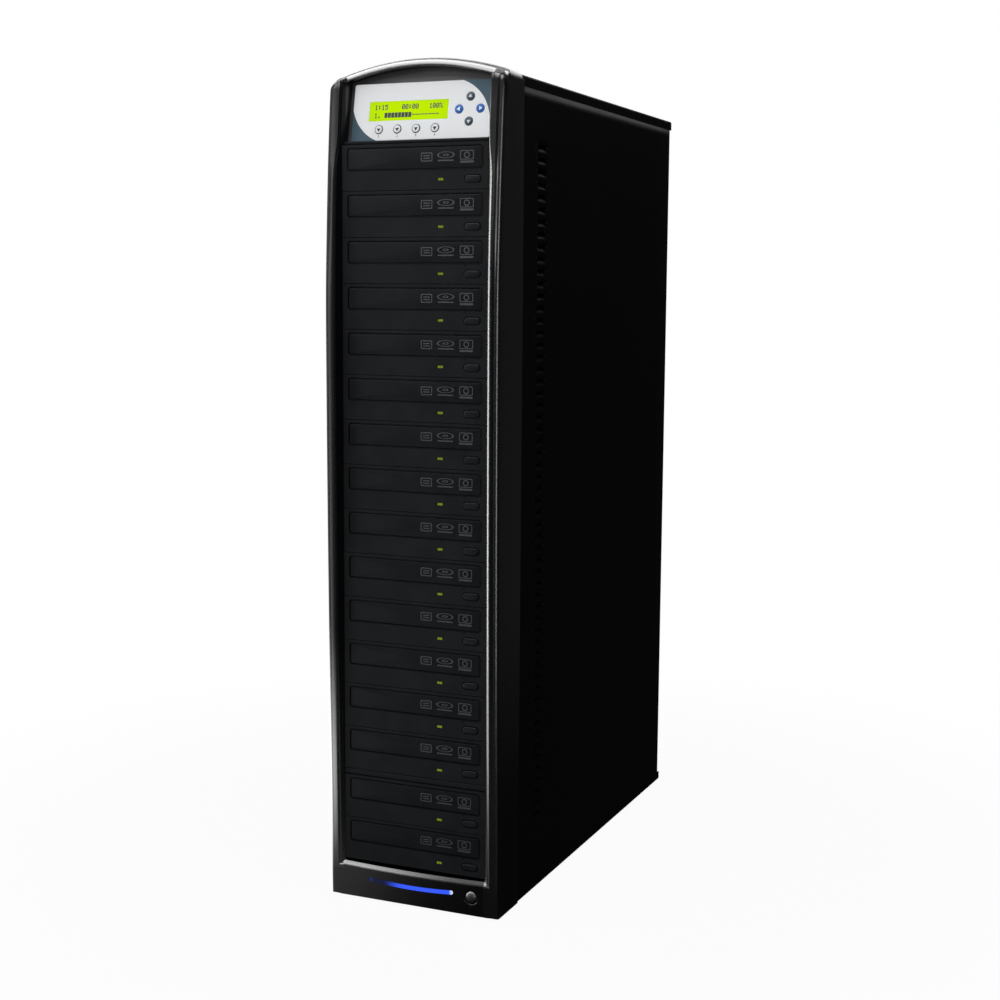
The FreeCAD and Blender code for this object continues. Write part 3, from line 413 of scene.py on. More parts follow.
def panel_print(name):
    """Printed control panel: a pale field whose lower left and upper right corners are slate behind
    white rules. Each rule is an arc round a centre on the panel. Outside its radius, on its
    corner's side of that centre, the print is slate."""
    made = finish(name)
    across, _, height = made.place()
    rise = (height - float(PANEL_FOOT[2])) / math.cos(TILT)

    def beyond(x, z, radius, side):
        off_x, off_z = across - x, rise - z
        reach = (off_x ** 2.0 + off_z ** 2.0) ** 0.5
        in_corner = (side * off_x).ease(0.0, 0.0002) * (side * off_z).ease(0.0, 0.0002)
        return (reach - radius) * in_corner

    upper = beyond(0.02653, 0.01240, 0.04211, 1.0)
    lower = beyond(-0.02826, 0.04021, 0.04257, -1.0)
    edge = upper.most(lower)
    rule = edge.ease(-0.0008, -0.0006)
    slate = edge.ease(0.0006, 0.0007)
    tooth = made.grain(1500.0, 2.0)
    field = made.mix(rule, shades().fascia, (0.90, 0.91, 0.92))
    weave = made.mix(made.grain(14.0, 2.0), shades().corner, scaled(shades().corner, 1.5))
    return made.surface(
        Base_Color=made.mix(slate, field, weave),
        Roughness=0.42 + 0.12 * (tooth - 0.5),
        Specular_IOR_Level=0.05,
        Normal=made.bump(tooth, 0.12, 0.00003))


def lit_display(name):
    """Backlit display: brighter in its middle, with a faint grid of unlit dots."""
    made = finish(name)
    across, _, height = made.place()
    middle = middle_of("lcd_module")
    lit_x, lit_z = 0.045, 0.012
    off_x, off_z = across - float(middle[0]), height - float(middle[2])
    away = ((off_x / lit_x) ** 2.0 + (off_z / lit_z) ** 2.0).ease(0.2, 2.2)
    column = (across / sizes().dot_pitch).fract()
    gap = abs(column - 0.5).ease(0.36, 0.5)
    field = made.mix(away, shades().display, scaled(shades().display, 0.72))
    field = made.mix(0.12 * gap, field, (0.75, 1.0, 0.0))
    return made.surface(
        Base_Color=scaled(shades().display, 0.25),
        Roughness=0.35,
        Specular_IOR_Level=0.0,
        Emission_Color=field,
        Emission_Strength=0.75)


def glowing_bar(name):
    """Light guide lit from its right-hand end: blue along its length, dark at the left, white at
    the lamp."""
    made = finish(name)
    across, _, _ = made.place()
    low, high = span("light_bar")
    way = (across - float(low[0])) / float(high[0] - low[0])
    shade = shades().glow
    lit, left_end, lamp_end = (0.16, 0.40), 0.06, (0.95, 0.985)
    glow = made.mix(way.ease(*lit), scaled(shade, 0.012), shade)
    glow = made.mix((left_end - way).ease(0.0, 0.05), glow, scaled(shade, 0.12))
    glow = made.mix(0.8 * way.ease(*lamp_end), glow, (0.75, 0.85, 1.0))
    swirl = made.grain(160.0, 2.0)
    return made.surface(
        Base_Color=(0.006, 0.009, 0.04),
        Roughness=0.16 + 0.1 * swirl,
        Specular_IOR_Level=0.2,
        Emission_Color=glow,
        Emission_Strength=1.0)


def marked_key(name, shade, mark, ringed):
    """Key cap with a triangle, read from the cap's own map whose unit is its radius. Inside the
    triangle both its foot line and its two flanks lie outwards. A ringed cap has a dark rim."""
    made = finish(name)
    side, up = made.chart()
    inside = (up + 0.24).least(0.36 - 0.62 * up - abs(side))
    body = shade
    if ringed:
        reach = (side ** 2.0 + up ** 2.0) ** 0.5
        body = made.mix(reach.ease(0.82, 0.86), shade, (0.04, 0.05, 0.06))
    tooth = made.grain(1800.0, 2.0)
    return made.surface(
        Base_Color=made.mix(inside.ease(0.0, 0.03), body, mark),
        Roughness=0.30 + 0.12 * (tooth - 0.5),
        Specular_IOR_Level=0.12,
        Normal=made.bump(tooth, 0.10, 0.00002))


def small_lamp(name, shade):
    """Small lens lit from behind, with brighter and duller spots."""
    made = finish(name)
    swirl = made.grain(700.0, 2.0)
    return made.surface(
        Base_Color=scaled(shade, 0.2),
        Roughness=0.25 + 0.1 * swirl,
        Specular_IOR_Level=0.1,
        Emission_Color=made.mix(swirl.ease(0.3, 0.7), scaled(shade, 0.6), scaled(shade, 1.3)),
        Emission_Strength=0.5)


def plain_ink(name, shade):
    """Print: slightly uneven ink."""
    made = finish(name)
    blot = made.grain(900.0, 2.0)
    return made.surface(
        Base_Color=made.mix(blot.ease(0.3, 0.7), shade, scaled(shade, 1.25)),
        Roughness=0.5 + 0.1 * (blot - 0.5),
        Specular_IOR_Level=0.2)


def circuit(name, shade):
    """Circuit board: fine parallel tracks under a green mask."""
    made = finish(name)
    across, _, height = made.place()
    line = (across * 600.0 + height * 90.0).fract()
    track = abs(line - 0.5).ease(0.30, 0.36)
    return made.surface(
        Base_Color=made.mix(track, shade, scaled(shade, 1.8)),
        Roughness=0.4 + 0.1 * track)


def spread(x, y, z):
    """Points from coordinates, each spread to the shape of all three."""
    return np.stack(np.broadcast_arrays(x, y, z), axis=-1)


def joined(rows, columns, ring):
    """Corner numbers of the quads between neighbouring rows and columns of a grid; a ring also
    joins its last column to its first."""
    number = np.arange(rows * columns).reshape(rows, columns)
    if ring:
        number = np.concatenate([number, number[:, :1]], axis=1)
    corners = [number[:-1, :-1], number[:-1, 1:], number[1:, 1:], number[1:, :-1]]
    return np.stack(corners, axis=-1).reshape(-1, 4)


def looped(rows, columns):
    """Corner numbers of the quads of a grid that closes both ways, laid out like the grid."""
    number = np.arange(rows * columns).reshape(rows, columns)
    onward, beyond = np.roll(number, -1, axis=1), np.roll(number, -1, axis=0)
    return np.stack([number, onward, np.roll(beyond, -1, axis=1), beyond], axis=-1)


def tube(grid):
    """Skin over a grid of points that closes both ways."""
    return grid.reshape(-1, 3), looped(*grid.shape[:2]).reshape(-1, 4).tolist()


def fan(middle, start, around):
    """Corner numbers of the triangles between a middle point and a ring of points."""
    place = np.arange(around)
    return np.stack([np.full(around, middle), start + place, start + (place + 1) % around], axis=1)


def stacked(rings):
    """Closed skin over a stack of rings: quads between neighbours, and a fan from each end to its
    middle point."""
    rows, around = rings.shape[:2]
    ends = [rings[:1].mean(axis=1), rings[-1:].mean(axis=1)]
    points = np.concatenate([rings.reshape(-1, 3), *ends])
    first_fan = fan(rows * around, 0, around)[:, [0, 2, 1]]
    last_fan = fan(rows * around + 1, (rows - 1) * around, around)
    return points, joined(rows, around, True).tolist() + first_fan.tolist() + last_fan.tolist()


def together(parts):
    """Several skins as one: each one's corner numbers move on by the points before it."""
    points, faces, before = [], [], 0
    for part_points, part_faces in parts:
        points.append(part_points)
        faces += [[before + corner for corner in face] for face in part_faces]
        before += len(part_points)
    return np.concatenate(points), faces


def turned_inwards(mesh, facing):
    """True where faces point in. Over a closed skin the sum of area times normal times place is
    three times its volume, so its sign tells; a sheet's normals are summed along the way that it
    should face."""
    count = len(mesh.polygons)
    normal, centre, area = np.empty(count * 3), np.empty(count * 3), np.empty(count)
    mesh.polygons.foreach_get("normal", normal)
    mesh.polygons.foreach_get("center", centre)
    mesh.polygons.foreach_get("area", area)
    centre = centre.reshape(-1, 3)
    field = centre - centre.mean(axis=0) if facing is None else np.array(facing)
    return (area[:, None] * normal.reshape(-1, 3) * field).sum() < 0.0


def put(name, skin, material, body, facing=None, merge=False):
    """Makes a piece from points and faces, turns it outwards, and lets it ride on a body."""
    points, faces = skin
    mesh = bpy.data.meshes.new(name)
    mesh.from_pydata(points, [], faces)
    if merge:
        work = bmesh.new()
        work.from_mesh(mesh)
        bmesh.ops.remove_doubles(work, verts=work.verts, dist=WELD)
        work.to_mesh(mesh)
        work.free()
    if turned_inwards(mesh, facing):
        mesh.flip_normals()
    mesh.shade_smooth()
    mesh.set_sharp_from_angle(angle=SHARP_ANGLE)
    mesh.materials.append(material)
    made = bpy.data.objects.new(name, mesh)
    bpy.context.scene.collection.objects.link(made)
    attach(made, body)
    return made


def chart_from(made, first, second):
    """Gives a piece a map: its points along two measures, given as functions of the points."""
    mesh = made.data
    place = np.empty(len(mesh.vertices) * 3)
    mesh.vertices.foreach_get("co", place)
    corner = np.empty(len(mesh.loops), dtype=np.int32)
    mesh.loops.foreach_get("vertex_index", corner)
    place = place.reshape(-1, 3)
    flat = np.stack([first(place), second(place)], axis=1)[corner]
    mesh.uv_layers.new(name="face").uv.foreach_set("vector", flat.ravel())


def dress(material, *nodes):
    """Gives solids a finish in place of their plain one."""
    for node in nodes:
        slots = NODES[node].data.materials
        slots.clear()
        slots.append(material)


def turned(profile, centre, axis, side, around):
    """Surface of revolution: each (radius, height) of the profile goes round the axis as a ring."""
    angle = np.linspace(0.0, 2.0 * math.pi, around, endpoint=False)
    third = np.cross(axis, side)
    spoke = np.cos(angle)[:, None] * side + np.sin(angle)[:, None] * third
    radius, height = np.array(profile).T
    rings = centre + height[:, None, None] * axis + radius[:, None, None] * spoke[None]
    return stacked(rings)


def round_line(half_a, half_b, corner, count):
    """Closed line round a rectangle, as two offsets from its middle: a circle of the corner's
    radius, each quarter of which moves out into its own corner."""
    angle = (np.arange(count) + 0.5) * 2.0 * math.pi / count
    return (np.sign(np.cos(angle)) * (half_a - corner) + corner * np.cos(angle),
            np.sign(np.sin(angle)) * (half_b - corner) + corner * np.sin(angle))


def quarter(count):
    """Angles of a quarter turn."""
    return np.linspace(0.0, math.pi / 2.0, count)


def bow(height):
    """Depth of the bowed front at a height: two arcs, each fall deep over its reach, that meet
    upright at the bulge. An arc's radius is (reach squared + fall squared) / (2 fall)."""
    below = height < BULGE
    fall = np.where(below, BASE_FALL, CROWN_FALL)
    reach = np.where(below, BULGE - BEZEL_LOW[2], CROWN - BULGE)
    radius = (reach ** 2 + fall ** 2) / (2.0 * fall)
    return BEZEL_LOW[1] + radius - np.sqrt(radius ** 2 - (height - BULGE) ** 2)


def outline(half, low, sag, high, rise, corner, parts):
    """Closed line round the front as x and z: up the left side, over the arched top, down the right
    side and back along the sagging foot. The arch and the sag are parabolas that vanish at the
    corners, and the arch's ends drop by a quarter round."""
    side, head, sill = parts
    shoulder = high - corner
    reach, back = 2.0 * head - 1.0, 1.0 - 2.0 * sill
    past = np.clip((np.abs(reach) * half - half + corner) / max(corner, 1e-9), 0.0, 1.0)
    top = high + rise * (1.0 - reach ** 2) - corner * (1.0 - np.sqrt(1.0 - past ** 2))
    return np.concatenate([
        np.stack([np.full_like(side, -half), low + (shoulder - low) * side], axis=1),
        np.stack([half * reach, top], axis=1),
        np.stack([np.full_like(side, half), shoulder + (low - shoulder) * side], axis=1),
        np.stack([half * back, low - sag * (1.0 - back ** 2)], axis=1)])


def shares(count, *dense):
    """Shares from 0 up to 1 without the 1, evenly spaced and closer together in the dense spans."""
    runs = [np.linspace(0.0, 1.0, count, endpoint=False)]
    runs += [np.linspace(start, end, number) for start, end, number in dense]
    every = np.unique(np.round(np.concatenate(runs), 5))
    return every[every < 0.99999]


def step(value, start, end):
    """0 before start and 1 after end, with a smooth cubic between."""
    share = np.clip((value - start) / (end - start), 0.0, 1.0)
    return share * share * (3.0 - 2.0 * share)


def opening_head():
    """Height of the opening's top at its sides."""
    return SHOULDER + SIDE_RISE - sizes().header_drop


def opening_line(parts, side=0.0, sill=0.0, head=0.0):
    """The opening's outline, moved outwards by a distance at its sides, its sill and its head.
    Beside the control panel the sides move less."""
    low, sag = FACE_LOW[2] - 0.0029, 0.0015
    line = outline(OPENING_HALF, low - sill, sag, opening_head() + head, HEAD_RISE, 0.0, parts)
    narrow = 1.0 - 0.62 * step(line[:, 1], FACE_HIGH[2] - 0.03, FACE_HIGH[2] + 0.012)
    line[:, 0] *= 1.0 + side * narrow / OPENING_HALF
    return line


def case_line(parts, side=0.0, foot=0.0, head=0.0):
    """The bezel's own outline, moved inwards by a distance at its sides, its foot and its head."""
    crown = BEZEL_HIGH[2] - SHOULDER - 0.0001
    corner = max(sizes().shoulder_round - side, 0.001)
    half, low = BEZEL_HIGH[0] - side, BEZEL_LOW[2] + foot
    return outline(half, low, 0.0, SHOULDER - head, crown, corner, parts)


def arch(across):
    """Height of the bezel's top: a parabola over its width, whose ends drop by a quarter round."""
    half, corner = BEZEL_HIGH[0], sizes().shoulder_round
    past = np.clip((np.abs(across) - half + corner) / corner, 0.0, 1.0)
    top = SHOULDER + (CROWN - SHOULDER) * (1.0 - (across / half) ** 2)
    return top - corner * (1.0 - np.sqrt(1.0 - past ** 2))


def power_patch(grid, rows, columns):
    """Dish and bore of the power button. The grid's cells round the button are left out; the line
    of points round that hole is drawn in to the dish's rim, down the dish's side and along the
    bore."""
    centre = middle_of("power_button")[[0, 2]]
    (r0, r1), (c0, c1) = rows, columns
    edge = np.concatenate([grid[r0, c0:c1], grid[r0:r1, c1],
                           grid[r1, c1:c0:-1], grid[r1:r0:-1, c0]])
    away = edge[:, [0, 2]] - centre
    spoke = away / np.linalg.norm(away, axis=1)[:, None]
    depth = sizes().dish_depth
    bore, rim, shelf, end = 0.0065, 0.0088, 0.0035, 0.0090
    steps = [(rim, 0.0)]
    steps += [(rim - (rim - bore) * math.sin(a), depth * (1.0 - math.cos(a))) for a in quarter(7)]
    steps += [(bore, depth + shelf), (bore, end)]
    rings = [edge]
    for radius, sink in steps:
        x, z = (centre + radius * spoke).T
        rings.append(spread(x, bow(z) + sink, z))
    return np.array(rings)


def bezel_skin():
    """The bowed bezel as one closed ring of a skin. Its rows go from the opening's wall up a
    splayed flank, over its crest and across the land, over the outer edge and back along the
    outside to the seam, and close behind. A side flank rises from the plane of the drives to a
    slanted lip; the sill's flank is one curve. On the pillars the land falls away outwards, and
    their tips curve back to the plane of the header, which lies deeper and rolls far back."""
    parts = (shares(84, (0.0, 0.02, 7), (0.97, 1.0, 44)),
             shares(64, (0.0, 0.12, 34), (0.88, 1.0, 34)),
             shares(64, (0.035, 0.205, 52)))
    size = sizes()
    flank, sill_flank, head_flank = size.flank_width, size.sill_width, 0.0012
    edge, foot_edge, head_edge = size.edge_round, 0.0008, 0.0078
    wall_depth, least_depth, back_wall = 0.028, 0.003, 0.0025
    counts = np.cumsum([0] + [len(part) for part in (parts[0], parts[1], parts[0], parts[2])])
    over, under = slice(counts[1], counts[2]), slice(counts[3], counts[4])
    land = np.ones(counts[4])
    land[under] = step(np.abs(2.0 * parts[2] - 1.0), 0.86, 0.98)
    set_header = bow(np.array(CROWN)) + size.header_recess
    lines, depths, set_y = [], [], []

    def header(line):
        """0 on the pillars, 1 in the header's plane, and a power of the rise over the tips."""
        x, z = line.T
        rise = np.clip(1.0 - (arch(x) - size.tip_top - z) / size.tip_drop, 0.0, 1.0)
        share = rise ** 2.2
        between = 1.0 - step(np.abs(x[over]), OPENING_HALF - 0.0010, OPENING_HALF + 0.0040)
        share[over] = np.maximum(share[over], between)
        return share

    def front(line):
        return bow(line[:, 1]) * (1.0 - header(line)) + set_header * header(line)

    def fall(line):
        z = line[:, 1]
        fade = step(z, BEZEL_LOW[2] + 0.010, BEZEL_LOW[2] + 0.075)
        fade = fade * (1.0 + step(z, BULGE, FACE_HIGH[2] - 0.05))
        return size.land_fall * land * (1.0 - header(line)) * fade

    def row(line, depth, y=None):
        lines.append(line)
        depths.append(front(line) + depth if y is None else np.full(len(line), y))
        set_y.append(y is not None)

    def case_row(inwards):
        return case_line(parts, edge * inwards, foot_edge * inwards, head_edge * inwards)

    row(opening_line(parts), 0.0, FACE_LOW[1] + wall_depth)
    turning = 1.0 - size.lip_width / flank
    inner_shares, lip_shares = np.linspace(0.0, turning, 6), np.linspace(turning, 1.0, 9)[1:]
    for share in np.concatenate([inner_shares, lip_shares]):
        line = opening_line(parts, flank * share, sill_flank * share, head_flank * share)
        deep = np.maximum(FACE_LOW[1] - front(line), least_depth)
        lip = np.minimum(size.lip_depth, 0.5 * deep)
        inner = max(1.0 - share / turning, 0.0)
        onward = max(share - turning, 0.0) / (1.0 - turning)
        drop = (deep - lip) * inner + lip * (1.0 - onward ** 1.6)
        drop[under] = deep[under] * (1.0 - share) ** 1.3
        row(line, drop)
    start = opening_line(parts, flank, sill_flank, head_flank)
    end = case_row(1.0)
    for share in np.linspace(0.0, 1.0, 44)[1:-1]:
        line = start + (end - start) * share
        row(line, fall(line) * share ** 1.4)
    roll = edge * land + foot_edge * (1.0 - land)
    between_ends = step(1.0 - np.abs(2.0 * parts[1] - 1.0), 0.0, 0.08)
    roll[over] += (size.header_roll - edge) * between_ends
    for angle in quarter(13):
        line = case_row(1.0 - math.sin(angle))
        row(line, fall(line) + roll * (1.0 - math.cos(angle)))
    row(case_line(parts), 0.0, WRAP_LOW[1])
    row(opening_line(parts, back_wall, back_wall, back_wall), 0.0, WRAP_LOW[1])
    x, z = np.moveaxis(np.array(lines), -1, 0)
    grid = np.stack([x, np.array(depths), z], axis=-1)

    middle, reach = middle_of("power_button"), 0.0100
    near = (np.abs(x - middle[0]) < reach) & (np.abs(z - middle[2]) < reach)
    near &= ~np.array(set_y)[:, None]
    row_hits, column_hits = np.nonzero(near.any(axis=1))[0], np.nonzero(near.any(axis=0))[0]
    rows, columns = (row_hits[0], row_hits[-1]), (column_hits[0], column_hits[-1])
    keep = np.ones(x.shape, dtype=bool)
    keep[rows[0]:rows[1], columns[0]:columns[1]] = False
    patch = power_patch(grid, rows, columns)
    return together([(grid.reshape(-1, 3), looped(*x.shape)[keep].tolist()),
                     (patch.reshape(-1, 3), joined(*patch.shape[:2], True).tolist())])


def on_panel(across, up, out):
    """Points of the control panel's own frame: across it, up its face and out from it."""
    across, up, out = (value[..., None] for value in np.broadcast_arrays(across, up, out))
    return PANEL_FOOT + across * ACROSS + up * PANEL_UP + out * PANEL_OUT


def control_surround():
    """Leaning wall round the control panel: rows from the window behind the panel out into the
    bezel's walls."""
    parts = (shares(8), shares(40), shares(8))
    rows, overlap, behind = 6, 0.002, -0.0026
    window = outline(0.066, 0.004, 0.0, 0.049, 0.0, 0.0, parts)
    head = (opening_head() + overlap - PANEL_FOOT[2]) / math.cos(TILT)
    border = outline(OPENING_HALF + overlap, -0.0030, 0.0, head, 0.0105, 0.0, parts)
    lines = window + np.linspace(0.0, 1.0, rows)[:, None, None] * (border - window)
    grid = on_panel(lines[..., 0], lines[..., 1], behind)
    return grid.reshape(-1, 3), joined(rows, grid.shape[1], True).tolist()


def bar_skin(y_span, z_span, edge):
    """Bar across the opening: a rectangle with rounded edges, carried from wall to wall."""
    y, z = round_line((y_span[1] - y_span[0]) / 2.0, (z_span[1] - z_span[0]) / 2.0, edge, 32)
    x = np.linspace(-1.0, 1.0, 13) * (OPENING_HALF + 0.0015)
    return stacked(spread(x[:, None], sum(y_span) / 2.0 + y, sum(z_span) / 2.0 + z))


class DuplicatorBezel(bpy.types.Operator):
    """Makes the bowed front bezel, its dish and bars and the wall round the control panel"""
    bl_idname = "duplicator.bezel"
    bl_label = "Front bezel"

    def execute(self, context):
        black = lacquered("bezel_black", shades().bezel)
        shell = put("bezel_shell", bezel_skin(), black, "case", merge=True)
        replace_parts(shell, "front_bezel")
        grey = moulded("bezel_inner", shades().inner)
        put("control_surround", control_surround(), grey, "case", facing=PANEL_OUT)
        dull = moulded("bar_black", shades().drive)
        bay = FACE_LOW[1]
        ledge = bar_skin((bay + 0.0045, bay + 0.026), (0.7235, 0.72630), 0.0009)
        put("panel_ledge", ledge, dull, "case")
        bank = bar_skin((bay + 0.0005, bay + 0.020), (0.12485, 0.13055), 0.0012)
        put("bank_bar", bank, dull, "case")
        return {"FINISHED"}


def scooped_panel(side):
    """Side panel with its column of pressed scoops. Along the plan line the sheet runs from the
    seam to the rounded rear fold and in along the flange; each scoop sinks evenly from its foot to
    its slot, times the rounded shape of its ends, and the slot's own cells are left open."""
    low, high = span("side_panel_right")
    slot, pitch, drop, count = 0.006, 0.0115, 0.0625, 57
    behind_front, scoop_length, nose, fold = 0.091, 0.023, 0.006, 0.0025
    start = BEZEL_LOW[1] + behind_front
    end = start + scoop_length
    # Heights: two rows at the foot, eight per scoop up to its slot, six over the last one
    tops = WRAP_HIGH[2] - drop + slot / 2.0 - pitch * np.arange(count)
    slope = slot * np.array([-1.0, -0.8, -0.6, -0.4, -0.2])
    steps = np.concatenate([[-slot - 0.0008], slope, [-0.00012, 0.00012]])
    scoop_z = (tops[::-1, None] + steps).ravel()
    over = np.linspace(scoop_z[-1] + 0.006, high[2], 6)
    z = np.concatenate([[low[2], low[2] + 0.0006], scoop_z, over])
    ramp = np.tile([0.0, 0.0, 0.2, 0.4, 0.6, 0.8, 1.0, 0.0], count)
    ramp = np.concatenate([[0.0, 0.0], ramp, np.zeros(6)])
    riser = ramp == 1.0
    # The plan line
    away = nose * np.linspace(0.0, 1.0, 7)
    y = np.concatenate([[low[1], low[1] + 0.0005], np.linspace(low[1] + 0.008, start - 0.001, 4),
                        start + away, end - away[::-1],
                        np.linspace(end + 0.001, high[1] - 0.003, 10)])
    turn = quarter(6)[1:]
    fold_x, fold_y = high[0] - fold + fold * np.cos(turn), high[1] - fold + fold * np.sin(turn)
    plan_y = np.concatenate([y, fold_y, [high[1]]])
    plan_x = np.concatenate([np.full(len(y), high[0]), fold_x, [low[0] + 0.0005]])
    reach = np.abs(plan_y - (start + end) / 2.0) - (end - start) / 2.0 + nose
    ends = np.sqrt(np.clip(1.0 - np.clip(reach / nose, 0.0, 1.0) ** 2, 0.0, 1.0))
    sink = sizes().scoop_depth * ramp[:, None] ** 0.85 * ends
    grid = spread(side * (plan_x - sink), plan_y, z[:, None])
    quads = joined(len(z), len(plan_y), False).reshape(len(z) - 1, len(plan_y) - 1, 4)
    cut = riser[:-1, None] & ((ends[:-1] > 0.0) | (ends[1:] > 0.0))
    return grid.reshape(-1, 3), quads[~cut].tolist()


class DuplicatorPanels(bpy.types.Operator):
    """Makes the two side panels with their pressed louvres"""
    bl_idname = "duplicator.panels"
    bl_label = "Side panels"

    def execute(self, context):
        paint = painted_steel("panel_paint", shades().steel)
        for side, word in ((1.0, "right"), (-1.0, "left")):
            made = put("panel_" + word, scooped_panel(side), paint, "case",
                       facing=(side, 0.3, 0.0))
            wall = made.modifiers.new("sheet", "SOLIDIFY")
            wall.thickness = 0.0009
            wall.offset = -1.0
            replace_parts(made, "side_panel_" + word)
        return {"FINISHED"}


def screw_places():
    """Middles of the screw heads at the back: on the side panels' flanges, round the fan and round
    the supply."""
    flange = span("side_panel_right")[1]
    wall = span("fan_frame")[1][1] + 0.001
    places = [(side * (flange[0] - 0.007), flange[1], share * flange[2])
              for side in (-1.0, 1.0) for share in (0.08, 0.5, 0.94)]
    for node, inset in (("fan_frame", 0.0075), ("psu_housing", 0.006)):
        low, high = span(node)
        places += [(x, wall, z) for x in (low[0] + inset, high[0] - inset)
                   for z in (low[2] + inset, high[2] - inset)]
    return np.array(places)


def cross_head(name):
    """Plated screw head with a cross recess: within a narrow distance of either middle line, near
    the middle, it is dented by a bump and painted near-black as the recess's shade."""
    made = finish(name)
    side, up = made.chart()
    arm = abs(side).least(abs(up))
    reach = (side ** 2.0 + up ** 2.0) ** 0.5
    # The cross is dented by the bump, and painted shade: near-black and not metal where the recess
    # lies in shade
    cross = (1.0 - arm.ease(0.10, 0.16)) * (1.0 - reach.ease(0.52, 0.60))
    brushed = made.grain(900.0, 2.0)
    return made.surface(
        Base_Color=made.mix(cross, (0.30, 0.30, 0.31), (0.01, 0.01, 0.01)),
        Metallic=1.0 - cross,
        Roughness=0.30 + 0.16 * (brushed - 0.5),
        Normal=made.bump(0.0 - cross, 0.6, 0.0004))


class DuplicatorCase(bpy.types.Operator):
    """Gives the case's solids their finishes and sets the screws at its back"""
    bl_idname = "duplicator.case"
    bl_label = "Case finishes"

    def execute(self, context):
        dress(painted_steel("wrap_paint", shades().steel), "chassis_wrap")
        zinc = plated_steel("plated_steel", shades().zinc)
        dress(zinc, "drive_cage", "drive_housings", "psu_housing")
        dress(moulded("foot_rubber", shades().rubber), "feet")
        dress(moulded("socket_black", (0.010, 0.010, 0.011)), "psu_inlet", "psu_rocker")
        dress(moulded("fan_black", (0.014, 0.014, 0.015)), "fan_frame", "fan_rotor")
        radius, rim, dome = 0.0033, 0.0003, 0.0016
        profile = [(radius, -0.0002), (radius, rim)]
        profile += [(radius * math.cos(a), rim + dome * math.sin(a)) for a in quarter(6)[1:-1]]
        places = screw_places()
        heads = [turned(profile, place, REARWARD, ACROSS, 18) for place in places]
        made = put("case_screws", together(heads), cross_head("screw_zinc"), "case")
        middle = np.repeat(places, len(heads[0][0]), axis=0)
        chart_from(made, lambda p: (p - middle)[:, 0] / radius,
                   lambda p: (p - middle)[:, 2] / radius)
        return {"FINISHED"}


def stepped(node, corner, edge, back, count):
    """Rounded block as wide as a solid: lines round a rectangle with round corners, from its back
    edge to its front, stepping in over a quarter round to the flat front."""
    low, high = span(node)
    middle, half = (low + high) / 2.0, (high - low) / 2.0
    steps = [(0.0, back)]
    steps += [(edge * (1.0 - math.cos(a)), low[1] + edge * (1.0 - math.sin(a))) for a in quarter(5)]
    rings = []
    for inset, y in steps:
        x, z = round_line(half[0] - inset, half[2] - inset, corner - inset, count)
        rings.append(spread(middle[0] + x, y, middle[2] + z))
    return stacked(np.array(rings))


def gap_shade_band(node, growth, corner, width):
    """Thin lip on a faceplate round a solid's front: a low band with slanted sides, near-black as
    painted shade of the gap round the solid.
    """
    low, high = span(node)
    middle, half = (low + high) / 2.0, (high - low) / 2.0
    slant, height = 0.00015, 0.00014
    rows = []
    for out, proud in ((0.0, -0.0012), (0.0, 0.6 * height), (slant, height),
                       (width - slant, height), (width, -0.0003)):
        reach = growth + out
        x, z = round_line(half[0] + reach, half[2] + reach, corner + reach, 40)
        rows.append(spread(middle[0] + x, FACE_LOW[1] - proud, middle[2] + z))
    return tube(np.array(rows))


def spokes(angle, sides):
    """Reach of spokes to a straight-sided outline: the least of their reaches to its sides, each of
    which is given by its turn and its distance."""
    turn, distance = np.array(sides).T
    along = np.cos(angle[:, None] - turn)
    return np.where(along > 1e-6, distance / np.maximum(along, 1e-6), 1e6).min(axis=1)


def carrier_skin(node):
    """Disc carrier behind a door. Every spoke from the well's middle crosses the same rows: the
    outer edge, the wall of the disc well, the step of the small disc's well and the spindle slot,
    then back out underneath."""
    low, high = span(node)
    top, foot = high[2] - 0.005, high[2] - 0.011
    front, half = low[1] + 0.004, 0.0664
    middle = front + half
    corner = [math.atan2(y - middle, x) for x in (-half, half) for y in (front, high[1])]
    even = np.linspace(-math.pi, math.pi, 96, endpoint=False)
    angle = np.unique(np.concatenate([even, corner]))
    turn = math.pi / 2.0
    outer = spokes(angle, [(0.0, half), (2.0 * turn, half),
                           (turn, high[1] - middle), (-turn, half)])
    slot = spokes(angle, [(0.0, 0.021), (2.0 * turn, 0.021), (turn, 0.051), (-turn, 0.021),
                          (turn / 2.0, 0.0424), (1.5 * turn, 0.0424),
                          (-turn / 2.0, 0.0212), (-1.5 * turn, 0.0212)])
    small = np.maximum(0.0403, slot + 0.0016)
    well, small_well = top - 0.0022, top - 0.0030
    blunt, slant, rim, wall = 0.0004, 0.0006, 0.0610, 0.0602
    rows = [(outer, top - blunt), (outer - blunt, top), (rim, top), (rim - 0.0005, top - 0.0005),
            (wall, well), (small + slant, well), (small, small_well),
            (slot + slant, small_well), (slot, top - 0.0036), (slot, foot), (outer, foot)]
    return tube(np.array([spread(reach * np.cos(angle), middle + reach * np.sin(angle), z)
                          for reach, z in rows]))


def band(outer, inner):
    """Flat band between two closed lines, each given by its offsets across and up."""
    flat = np.stack([np.stack(line, axis=-1) for line in (outer, inner)])
    return flat, joined(2, flat.shape[1], True)


